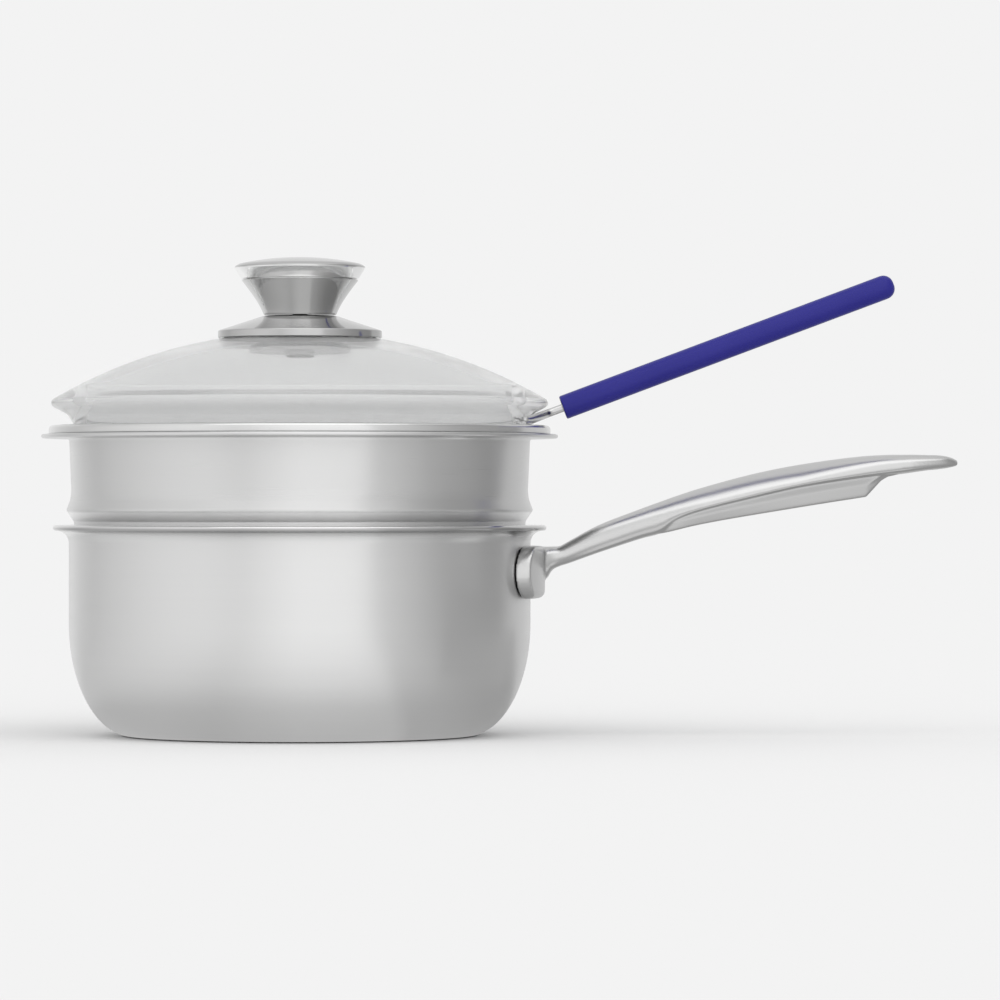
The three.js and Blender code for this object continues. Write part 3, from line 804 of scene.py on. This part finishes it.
# Basket
ROLL = 1.6
ROLL_CORNER = 0.3
COLLAR_PLAY = 0.9
COLLAR_BEND = 3.5
COLLAR_DEPTH = 12.7
COLLAR_TAPER = 1.3
COLLAR_INNER = STEAMER_WALL - SHEET - COLLAR_PLAY - SHEET
FLANGE_TOP = RIM_LOW.z + COLLAR_DEPTH + 2 * ROLL
COLLAR_CENTRE = FLANGE_TOP - COLLAR_BEND
NET_WIRE = 0.42
NET_PITCH = 6.0
NET_TAPER = 5.2
NET_INSET = 0.6
NET_FLOOR_INSET = 0.2
NET_SIDES = 6
WAVE_STEPS = 4
WIRE_RADIUS = 1.6
WIRE_SPREAD = 27.0
WIRE_TAIL = 4.0
WIRE_BEND = 3.8
WIRE_SIDES = 20
WIRE_LEAD = 7.0
WIRE_SHORT = 12.0
BEAD_RADIUS = 1.7
BEAD_LENGTH = 4.5
BEAD_BACK = 2.0
BEAD_RISE = 0.2
BEAD_SIDES = 14
GRIP_SLOPE = math.radians(20.56)
GRIP_LENGTH = 141.0
GRIP_WIDTH = 13.5
GRIP_HEIGHT = 9.6
GRIP_BORE_DEPTH = 26.0
GRIP_BORE_EDGE = 0.5
GRIP_BORE_FLARE = 0.8
GRIP_EDGE = 0.6
GRIP_TIP = 4.2
GRIP_TIP_FLAT = 0.2
GRIP_REACH = 105.2
GRIP_RISE = 10.35
GRIP_START = Vector((GRIP_REACH, 0.0, RIM_LOW.z + COLLAR_DEPTH + GRIP_RISE))
GRIP_AXIS = Vector((math.cos(GRIP_SLOPE), 0.0, math.sin(GRIP_SLOPE)))
GRIP_UP = Vector((-math.sin(GRIP_SLOPE), 0.0, math.cos(GRIP_SLOPE)))


def build_basket_rim():
    foot = RIM_LOW.z
    inner = COLLAR_INNER - COLLAR_TAPER
    roll = RIM_HIGH.x - ROLL
    bend = COLLAR_INNER + COLLAR_BEND
    corner, corner_z = RIM_HIGH.x - ROLL_CORNER, FLANGE_TOP - 2 * ROLL + 0.1
    profile = [
        (inner, foot),
        (inner + SHEET, foot),
        *arc(bend, COLLAR_CENTRE, COLLAR_BEND - SHEET, 180, 90, 8),
        *arc(roll, FLANGE_TOP - ROLL, ROLL, 150, 270, 12),
        *arc(corner, corner_z, ROLL_CORNER, -90, 0, 6),
        *arc(roll, FLANGE_TOP - ROLL, ROLL, 0, 90, 10),
        *arc(bend, COLLAR_CENTRE, COLLAR_BEND, 90, 180, 10),
    ]
    mesh = turned("basket_rim", profile, FINE)
    piece("basket_rim_spun", mesh, "basket", ["basket_rim"], RIM_STEEL)


def net_radius(z):
    """The wires' middle at a height of the tapered wall."""
    share = (z - NET_LOW.z) / (NET_HIGH.z - NET_LOW.z)
    return NET_HIGH.x - NET_INSET - NET_TAPER * (1 - share)


def build_net_wall():
    """Upright wires and rings woven through each other: neighbours wave in opposite ways."""
    verts, faces = [], []
    low, high = NET_LOW.z + NET_WIRE, NET_HIGH.z - NET_WIRE
    rows = round((high - low) / NET_PITCH)
    columns = 2 * round(math.pi * NET_HIGH.x / NET_PITCH)
    up_steps, round_steps = rows * WAVE_STEPS, columns * WAVE_STEPS
    for c in range(columns):
        angle = 2 * math.pi * c / columns
        path = []
        for i in range(up_steps + 1):
            z = low + (high - low) * i / up_steps
            r = net_radius(z) + NET_WIRE * math.cos(math.pi * (i / WAVE_STEPS + c))
            path.append(Vector((r * math.cos(angle), r * math.sin(angle), z)))
        swept(verts, faces, path, NET_WIRE, NET_SIDES)
    for j in range(rows + 1):
        z = low + (high - low) * j / rows
        path = []
        for i in range(round_steps):
            angle = 2 * math.pi * i / round_steps
            r = net_radius(z) - NET_WIRE * math.cos(math.pi * (i / WAVE_STEPS + j))
            path.append(Vector((r * math.cos(angle), r * math.sin(angle), z)))
        swept(verts, faces, path, NET_WIRE, NET_SIDES, closed=True)
    mesh = new_mesh("net_wall", verts, faces)
    piece("net_wall_woven", mesh, "basket", ["basket_net_wall"], WIRE_STEEL, crease=60)


def build_net_floor():
    """Two layers of straight wires woven through each other inside the hoop."""
    verts, faces = [], []
    low, high = corners("basket_net_floor")
    reach, middle = high.x - NET_FLOOR_INSET, (low.z + high.z) / 2
    lines = int(reach // NET_PITCH)
    for turn in (0, 1):
        for line in range(-lines, lines + 1):
            offset = line * NET_PITCH
            half = math.sqrt(reach**2 - offset**2)
            count = max(2, round(half / NET_PITCH * WAVE_STEPS))
            path = []
            for i in range(-count, count + 1):
                along = half * i / count
                wave = NET_WIRE * math.cos(math.pi * (along / NET_PITCH + line)) * (1 if turn else -1)
                spot = (along, offset) if turn else (offset, along)
                path.append(Vector((*spot, middle + wave)))
            swept(verts, faces, path, NET_WIRE, NET_SIDES)
    mesh = new_mesh("net_floor", verts, faces)
    piece("net_floor_woven", mesh, "basket", ["basket_net_floor"], WIRE_STEEL, crease=60)


def build_hoop():
    radius = (HOOP_HIGH.z - HOOP_LOW.z) / 2
    profile = arc(HOOP_HIGH.x - radius, HOOP_LOW.z + radius, radius, 0, 345, 23)
    mesh = turned("hoop", profile, FINE)
    piece("hoop_ring", mesh, "basket", ["basket_hoop"], WIRE_STEEL, crease=60)


def bent(stops, reach):
    """A path of straight stretches with a round bend at each inner corner."""
    path = [stops[0]]
    for before, corner, after in zip(stops, stops[1:], stops[2:]):
        start = corner + (before - corner).normalized() * reach
        end = corner + (after - corner).normalized() * reach
        path.extend(Vector(p) for p in curve(start, corner, end, 12))
    path.append(stops[-1])
    return path


def build_wires():
    """Each wire ends in a round tip on the flange, with a weld bead under it."""
    foot_z = FLANGE_TOP + GAP + WIRE_RADIUS
    foot_radius = COLLAR_INNER + COLLAR_BEND + WIRE_RADIUS + GAP
    foot_x = math.sqrt(foot_radius**2 - WIRE_SPREAD**2)
    apart = WIRE_RADIUS + GAP / 2
    turns = [math.pi / 2 * i / 6 for i in range(1, 6)]
    shares = [i / 6 for i in range(-5, 6)]
    sink = Vector((0, 0, WIRE_RADIUS - BEAD_RISE))
    for node, side in (("basket_wire_front", -1), ("basket_wire_rear", 1)):
        start = GRIP_START + Vector((0, side * apart, 0))
        foot = Vector((foot_x, side * WIRE_SPREAD, foot_z))
        tail = Vector((-WIRE_SPREAD, side * foot_x, 0)) / foot_radius
        tip = foot + tail * WIRE_TAIL
        stops = [tip, foot, start - GRIP_AXIS * WIRE_LEAD, start + GRIP_AXIS * (GRIP_LENGTH - WIRE_SHORT)]
        path = bent(stops, WIRE_BEND)
        rounding = [tip + tail * (WIRE_RADIUS * math.cos(t)) for t in turns]
        radii = [WIRE_RADIUS * math.sin(t) for t in turns] + [WIRE_RADIUS] * len(path)
        verts, faces = [], []
        swept(verts, faces, rounding + path, radii, WIRE_SIDES)
        bead = [tip + tail * (BEAD_LENGTH * t - BEAD_BACK) - sink for t in shares]
        swept(verts, faces, bead, [BEAD_RADIUS * math.sqrt(1 - t * t) for t in shares], BEAD_SIDES)
        mesh = new_mesh(node, verts, faces)
        piece(node + "_bent", mesh, "basket", [node], WIRE_STEEL, crease=50)


def build_grip():
    """A sleeve with a blind bore: its sections run out of the bore, round the mouth and on to the tip."""
    bore_wide = 2 * (WIRE_RADIUS * 2 + GAP / 2 + GAP)
    bore_high = 2 * (WIRE_RADIUS + GAP)
    stations = [
        (GRIP_BORE_DEPTH, bore_wide, bore_high),
        (GRIP_BORE_EDGE, bore_wide, bore_high),
        (0.0, bore_wide + GRIP_BORE_FLARE, bore_high + GRIP_BORE_FLARE),
    ]
    for i in range(7):
        angle = math.pi / 2 * i / 6
        along = GRIP_EDGE * (1 - math.cos(angle))
        lift = GRIP_EDGE * (1 - math.sin(angle))
        stations.append((along, GRIP_WIDTH - 2 * lift, GRIP_HEIGHT - 2 * lift))
    stations.append((GRIP_LENGTH / 2, GRIP_WIDTH, GRIP_HEIGHT))
    for i in range(11):
        angle = math.pi / 2 * i / 10
        along = GRIP_LENGTH - GRIP_TIP + GRIP_TIP * math.sin(angle)
        lift = (GRIP_TIP - GRIP_TIP_FLAT) * (1 - math.cos(angle))
        stations.append((along, GRIP_WIDTH - 2 * lift, GRIP_HEIGHT - 2 * lift))
    rings = []
    for along, wide, high in stations:
        ring = []
        for u, v in obround(wide / 2, high / 2, 14):
            ring.append(tuple(GRIP_START + GRIP_AXIS * along + Vector((0, u, 0)) + GRIP_UP * v))
        rings.append(ring)
    verts, faces = [], []
    skinned(verts, faces, rings)
    mesh = new_mesh("grip", verts, faces)
    piece("grip_sleeve", mesh, "basket", ["basket_grip"], VINYL, crease=50)


# Lid
DOME_RADIUS = 194.0
LIP_TOP = 12.95
GLASS_THICKNESS = 3.6
GLASS_HOLE = 4.8
SKIRT_RADIUS = COLLAR_INNER + 0.3
SKIRT_THICKNESS = 4.0
SKIRT_FLARE = 2.6
SKIRT_HEIGHT = 6.0
LIP_EDGE = 2.1
LIP_REACH = 9.4
HOLE_EDGE = 0.5
DOME_STEPS = 40
LID_RADIUS = SKIRT_RADIUS + LIP_REACH
NOSE_RADIUS = LID_RADIUS - LIP_EDGE
APEX = GLASS_LOW.z + LIP_TOP + DOME_RADIUS - math.sqrt(DOME_RADIUS**2 - NOSE_RADIUS**2)


def glass_top(r):
    """Height of the glass's upper face at a radius."""
    return APEX - DOME_RADIUS + math.sqrt(DOME_RADIUS**2 - r**2)


def glass_under(r):
    """Height of the glass's lower face at a radius."""
    return APEX - DOME_RADIUS + math.sqrt((DOME_RADIUS - GLASS_THICKNESS) ** 2 - r**2)


def build_glass():
    """The dome's section, from the skirt's foot out over the lip, up to the hole and back underneath."""
    foot = GLASS_LOW.z
    nose = NOSE_RADIUS
    slope = math.degrees(math.asin(nose / DOME_RADIUS))
    nose_z = glass_top(nose) - LIP_EDGE / math.cos(math.radians(slope))
    inner = SKIRT_RADIUS - SKIRT_THICKNESS
    outer = nose + LIP_EDGE * math.sin(math.radians(slope))
    hole = GLASS_HOLE + HOLE_EDGE
    flare, flare_z = SKIRT_RADIUS + SKIRT_FLARE, foot + SKIRT_HEIGHT
    dome = [outer + (hole - outer) * i / DOME_STEPS for i in range(1, DOME_STEPS + 1)]
    under = [hole + (inner - 4.0 - GLASS_HOLE) * i / DOME_STEPS for i in range(DOME_STEPS + 1)]
    turn = inner - 2.0
    profile = [
        *arc(inner + 1.6, foot + 1.4, 1.4, 180, 270, 6),
        *arc(SKIRT_RADIUS - 0.9, foot + 1.0, 1.0, -90, 0, 6),
        *curve((flare - 0.9, flare_z - 2.2), (flare, flare_z), (flare + 2.2, flare_z + 0.9), 6),
        *arc(nose, nose_z, LIP_EDGE, -66, 90 - slope, 16),
        *[(r, glass_top(r)) for r in dome],
        *[(r, glass_under(r)) for r in under],
        *curve((turn, glass_under(turn)), (inner + 0.2, glass_under(inner)), (inner, foot + 9.0), 8),
    ]
    mesh = turned("lid_glass", profile, FINE)
    piece("lid_dome", mesh, "lid", ["lid_glass"], GLASS, crease=50)


# Knob
WAIST = 14.6
SEAM_RADIUS = 23.6
SEAM_HEIGHT = KNOB_HIGH.z - KNOB_LOW.z
KNOB_WALL = 2.2
SCREW_RADIUS = 3.0
SCREW_BORE = SCREW_RADIUS + GAP
PLATE_BAND = 3.0
PLATE_RIM = 2.2
PLATE_SHEET = 1.6
HUB_RADIUS = 9.0
HUB_FILLET = 13.0
RING_RADIUS = 8.6
RING_THICKNESS = 1.2
RING_ROOM = RING_THICKNESS + 2 * GAP
KNOB_PULL = 0.32
KNOB_FLOOR = 0.55
CAP_DROP = 4.1
CAP_SHOULDER = 2.6
CROWN_RISE = 2.5
PLUG_INSET = 1.4
PLUG_WALL = 1.4
PLUG_DEPTH = 2.0
CAP_SHEET = 1.5
LOWER_RING_RADIUS = 19.5
WASHER_RADIUS = 20.5
WASHER_THICKNESS = 1.4
SCREW_HEAD_HEIGHT = 3.0
THREAD_PITCH = 1.0
THREAD_DEPTH = 0.5
DRIVER_WIDTH = 1.2
DRIVER_DEPTH = 1.2


def build_plate():
    """A hollow cone with a hub that presses on the upper ring."""
    foot = PLATE_LOW.z
    radius, top = PLATE_HIGH.x, PLATE_HIGH.z
    band = foot + PLATE_BAND
    rim = radius - PLATE_RIM
    slope = (top - band) / (radius - WAIST)
    hub_top = band + (radius - HUB_FILLET) * slope - PLATE_SHEET
    profile = [
        (SCREW_BORE, APEX + RING_ROOM),
        (HUB_RADIUS, APEX + RING_ROOM),
        (HUB_RADIUS, hub_top),
        (HUB_FILLET, hub_top),
        (rim, band + (radius - rim) * slope - PLATE_SHEET),
        (rim, glass_top(rim) + GAP),
        (radius - 0.3, foot),
        (radius, foot + 0.3),
        *curve((radius, band - 0.5), (radius, band), (radius - 0.7, band + 0.7 * slope), 5),
        (WAIST + 0.2, top - 0.06),
        (WAIST - 0.4, top),
        (SCREW_BORE, top),
    ]
    mesh = turned("knob_plate", profile, SMALL)
    piece("plate_spun", mesh, "lid", ["knob_plate"], PLATE_STEEL)


def build_knob():
    """The waisted body up to the seam."""
    foot = KNOB_LOW.z
    seam = foot + SEAM_HEIGHT
    outside = curve((WAIST, foot), (WAIST + 1.2, foot + SEAM_HEIGHT * KNOB_PULL), (SEAM_RADIUS, seam), 22)
    inside = [(r - KNOB_WALL, z) for r, z in reversed(outside[15:])]
    floor = foot + SEAM_HEIGHT * KNOB_FLOOR
    profile = [
        (SCREW_BORE, foot),
        (WAIST - 0.4, foot),
        *outside[1:-1],
        (SEAM_RADIUS - 0.25, seam - 0.25),
        (SEAM_RADIUS - 0.6, seam),
        *inside,
        (inside[-1][0] - 2.0, floor),
        (SCREW_BORE, floor),
    ]
    mesh = turned("knob_body", profile, SMALL)
    piece("knob_waist", mesh, "lid", ["knob_body"], KNOB_STEEL)


def build_cap():
    """The domed cap, with a ring under it that plugs into the body."""
    radius, top = CAP_HIGH.x, CAP_HIGH.z
    widest = top - CAP_DROP
    foot = KNOB_LOW.z + SEAM_HEIGHT + GAP
    plug = SEAM_RADIUS - KNOB_WALL - GAP - PLUG_INSET
    shoulder = radius - CAP_SHOULDER
    lower, upper = (radius - 0.3, widest - 0.5), (radius - 0.35, widest + 0.5)
    edge = curve(lower, (radius + 0.1, widest + 0.1), upper, 8)
    lower, upper = (radius - 0.5, widest + 0.6), (shoulder + 0.2, top - 2.54)
    fillet = curve(lower, (radius - 1.3, widest + 1.2), upper, 8)
    crown = (shoulder**2 + CROWN_RISE**2) / (2 * CROWN_RISE)
    dome = [shoulder * (1 - i / 24) for i in range(24)]
    profile = [
        (0.0, foot + CAP_SHEET),
        (plug - PLUG_WALL, foot + CAP_SHEET),
        (plug - PLUG_WALL, foot - PLUG_DEPTH),
        (plug, foot - PLUG_DEPTH),
        (plug, foot),
        (SEAM_RADIUS - 0.5, foot),
        (SEAM_RADIUS, foot + 0.3),
        *edge,
        *fillet,
        *[(r, top - crown + math.sqrt(crown**2 - r**2)) for r in dome],
        (0.0, top),
    ]
    mesh = turned("knob_cap", profile, SMALL)
    piece("knob_cap_domed", mesh, "lid", ["knob_cap"], CAP_STEEL)


def ring_between(name, inner, outer, drop, thickness):
    """A ring under the glass that follows its curve."""
    radii = [inner + (outer - inner) * i / 12 for i in range(13)]
    low = [(r, glass_under(r) - drop - thickness) for r in radii]
    high = [(r, glass_under(r) - drop) for r in reversed(radii)]
    return turned(name, low + high, SMALL)


def build_rings():
    """The soft rings above and below the glass, and the dished washer."""
    inner, outer = GLASS_HOLE, RING_RADIUS
    foot, top = APEX + GAP, APEX + GAP + RING_THICKNESS
    profile = [(inner, foot), (outer, foot), (outer, top), (inner, top)]
    upper = turned("gasket_upper", profile, SMALL)
    piece("upper_ring", upper, "lid", ["gasket_upper"], SOFT_RING)
    lower = ring_between("gasket_lower", inner, LOWER_RING_RADIUS, GAP, RING_THICKNESS)
    piece("lower_ring", lower, "lid", ["gasket_lower"], SOFT_RING)
    washer = ring_between("lid_washer", SCREW_BORE, WASHER_RADIUS, RING_ROOM, WASHER_THICKNESS)
    piece("dished_washer", washer, "lid", ["lid_washer"], WIRE_STEEL)


def build_screw():
    low, high = SCREW_LOW.z, SCREW_HIGH.z
    head = SCREW_HIGH.x
    neck = low + SCREW_HEAD_HEIGHT
    profile = [
        (0.0, low),
        (head * 0.62, low),
        *curve((head * 0.7, low), (head, low + 0.2), (head, low + 1.4), 6),
        (head, neck),
        (SCREW_RADIUS, neck),
    ]
    z = neck + 0.6
    while z < high - 1.2:
        profile += [(SCREW_RADIUS, z), (SCREW_RADIUS - THREAD_DEPTH, z + THREAD_PITCH / 2)]
        z += THREAD_PITCH
    profile += [(SCREW_RADIUS - 0.1, high - 0.9), (SCREW_RADIUS - 0.8, high), (0.0, high)]
    half = DRIVER_WIDTH / 2
    notch = [(-head, -half), (head, -half), (head, half), (-head, half)]
    driver = prism("driver_slot", notch, low - 1, low + DRIVER_DEPTH, lambda u, v, w: (u, v, w))
    mesh = cut(turned("lid_screw", profile, COARSE), driver)
    piece("slotted_screw", mesh, "lid", ["lid_screw"], WIRE_STEEL, crease=30)


# Studio
ROOM_TONE = (0.896, 0.896, 0.896, 1.0)
FLOOR_TONE = (0.8, 0.8, 0.8, 1.0)
CAMERA_DISTANCE = 2200.0
CAMERA_ASIDE = 80.0
CAMERA_HEIGHT = 94.2
VIEW_WIDTH = 400.0
SENSOR = 36.0

# Metres
FLOOR_SIDE = 40.0
CAMERA_CLIP = 200.0
TENT_LIFT = 0.0005

# The tent's tone by direction, in degrees from the camera's side round by the handle. These tones are
# painted reflections: the tent glows, is no lamp, and only reflections see it
TENT = (
    (-180, 0.85),
    (-152, 0.87),
    (-136, 0.78),
    (-119, 0.7),
    (-102, 0.82),
    (-80, 0.94),
    (-62, 1.02),
    (-45, 1.05),
    (-25, 0.96),
    (-15, 1.06),
    (0, 1.18),
    (15, 1.18),
    (31, 1.16),
    (37, 0.85),
    (51, 0.74),
    (65, 0.6),
    (81, 0.48),
    (98, 0.43),
    (119, 0.4),
    (124, 0.68),
    (154, 0.72),
    (180, 0.85),
)
# Reach and height of the tent's rows in metres, and how far each is out of the painted shade at the pan's
# foot
TENT_ROWS = (
    (0.02, 0.0, 0.0),
    (0.098, 0.0, 0.0),
    (0.12, 0.0, 0.5),
    (0.17, 0.0, 0.75),
    (0.3, 0.0, 1.0),
    (2.0, 0.0, 1.0),
    (2.0, 2.4, 1.0),
)
# Painted shade at the pan's foot: the tone there falls to FOOT_TONE plus FOOT_SHARE of the direction's
# tone
FOOT_TONE = 0.28
FOOT_SHARE = 0.33
# The card and the fence: tone, then corners in metres. The card is a painted highlight in the keel's
# reflection, and the fence is a grey sheet of painted reflection that keeps the card out of the pan's
# wall
CARD = (0.94, ((0.125, -0.075, 0.001), (0.29, -0.075, 0.001), (0.29, 0.0, 0.001), (0.125, 0.0, 0.001)))
FENCE = (0.5, ((0.124, -0.085, 0.0), (0.124, 0.01, 0.0), (0.124, 0.01, 0.042), (0.124, -0.085, 0.042)))


def build_floor():
    side = FLOOR_SIDE
    mesh = bpy.data.meshes.new("floor")
    spots = [(-side, -side, 0.0), (side, -side, 0.0), (side, side, 0.0), (-side, side, 0.0)]
    mesh.from_pydata(spots, [], [(0, 1, 2, 3)])
    floor = placed("floor", mesh)
    material = bpy.data.materials.new("floor_paint")
    material.use_nodes = True
    graph = Graph(material.node_tree)
    shader = graph.node("ShaderNodeBsdfDiffuse", inputs={"Color": FLOOR_TONE})
    graph.end("ShaderNodeOutputMaterial", shader)
    mesh.materials.append(material)


def build_world():
    """An even white room."""
    world = bpy.data.worlds.new("studio")
    bpy.context.scene.world = world
    world.use_nodes = True
    graph = Graph(world.node_tree)
    shader = graph.node("ShaderNodeBackground", inputs={"Color": ROOM_TONE, "Strength": 1.0})
    graph.end("ShaderNodeOutputWorld", shader)


def build_tent():
    """A glowing tent that only reflections see, its tone set by the direction: painted reflections, not a
    lamp.

    Near the pan's foot it is darker as painted shade. A card below the handle shows as a painted
    highlight in its keel, and a grey fence keeps that card out of the pan's wall.
    """
    verts, faces, tones = [], [], []
    count = len(TENT_ROWS)
    for degrees, tone in TENT:
        angle = math.radians(degrees - 90)
        for reach, height, clear in TENT_ROWS:
            verts.append((reach * math.cos(angle), reach * math.sin(angle), height + TENT_LIFT))
            shade = FOOT_TONE + FOOT_SHARE * tone
            tones.append(shade + (tone - shade) * clear)
    for k in range(len(TENT) - 1):
        for row in range(count - 1):
            a, b = count * k + row, count * (k + 1) + row
            faces.append((a, a + 1, b + 1, b))
    for tone, sheet in (CARD, FENCE):
        faces.append(tuple(range(len(verts), len(verts) + len(sheet))))
        verts += sheet
        tones += [tone] * len(sheet)
    mesh = bpy.data.meshes.new("tent")
    mesh.from_pydata(verts, [], faces)
    paint = mesh.attributes.new("tone", "FLOAT", "POINT")
    paint.data.foreach_set("value", tones)
    tent = placed("tent", mesh)
    tent.visible_camera = False
    tent.visible_diffuse = False
    tent.visible_shadow = False
    tent.visible_transmission = False
    # The tent glows with painted reflections; it is no lamp
    material = bpy.data.materials.new("tent_painted_reflection")
    material.use_nodes = True
    graph = Graph(material.node_tree)
    tone = graph.node("ShaderNodeAttribute", {"attribute_name": "tone"}, output=2)
    graph.end("ShaderNodeOutputMaterial", graph.node("ShaderNodeEmission", inputs={"Color": tone}))
    mesh.materials.append(material)


def build_lamp(name, strength, angle, tilt):
    """A far, wide and soft lamp; angles in degrees."""
    lamp = bpy.data.lights.new(name, "SUN")
    lamp.energy = strength
    lamp.angle = math.radians(angle)
    made = bpy.data.objects.new(name, lamp)
    made.rotation_euler = [math.radians(t) for t in tilt]
    bpy.context.scene.collection.objects.link(made)


def build_camera():
    data = bpy.data.cameras.new("camera")
    data.sensor_width = SENSOR
    data.lens = SENSOR * CAMERA_DISTANCE / VIEW_WIDTH
    data.clip_end = CAMERA_CLIP
    camera = bpy.data.objects.new("camera", data)
    camera.location = Vector((CAMERA_ASIDE, -CAMERA_DISTANCE, CAMERA_HEIGHT)) * MM
    camera.rotation_euler = (math.pi / 2, 0.0, 0.0)
    bpy.context.scene.collection.objects.link(camera)
    bpy.context.scene.camera = camera


build_pan()
build_rivets()
build_handle()
build_steamer()
build_basket_rim()
build_net_wall()
build_net_floor()
build_hoop()
build_wires()
build_grip()
build_glass()
build_plate()
build_knob()
build_cap()
build_rings()
build_screw()
build_floor()
build_world()
build_tent()
build_lamp("key", strength=0.92, angle=80.0, tilt=(40.0, 0.0, 9.0))
build_camera()
bpy.context.scene.view_settings.view_transform = "Standard"
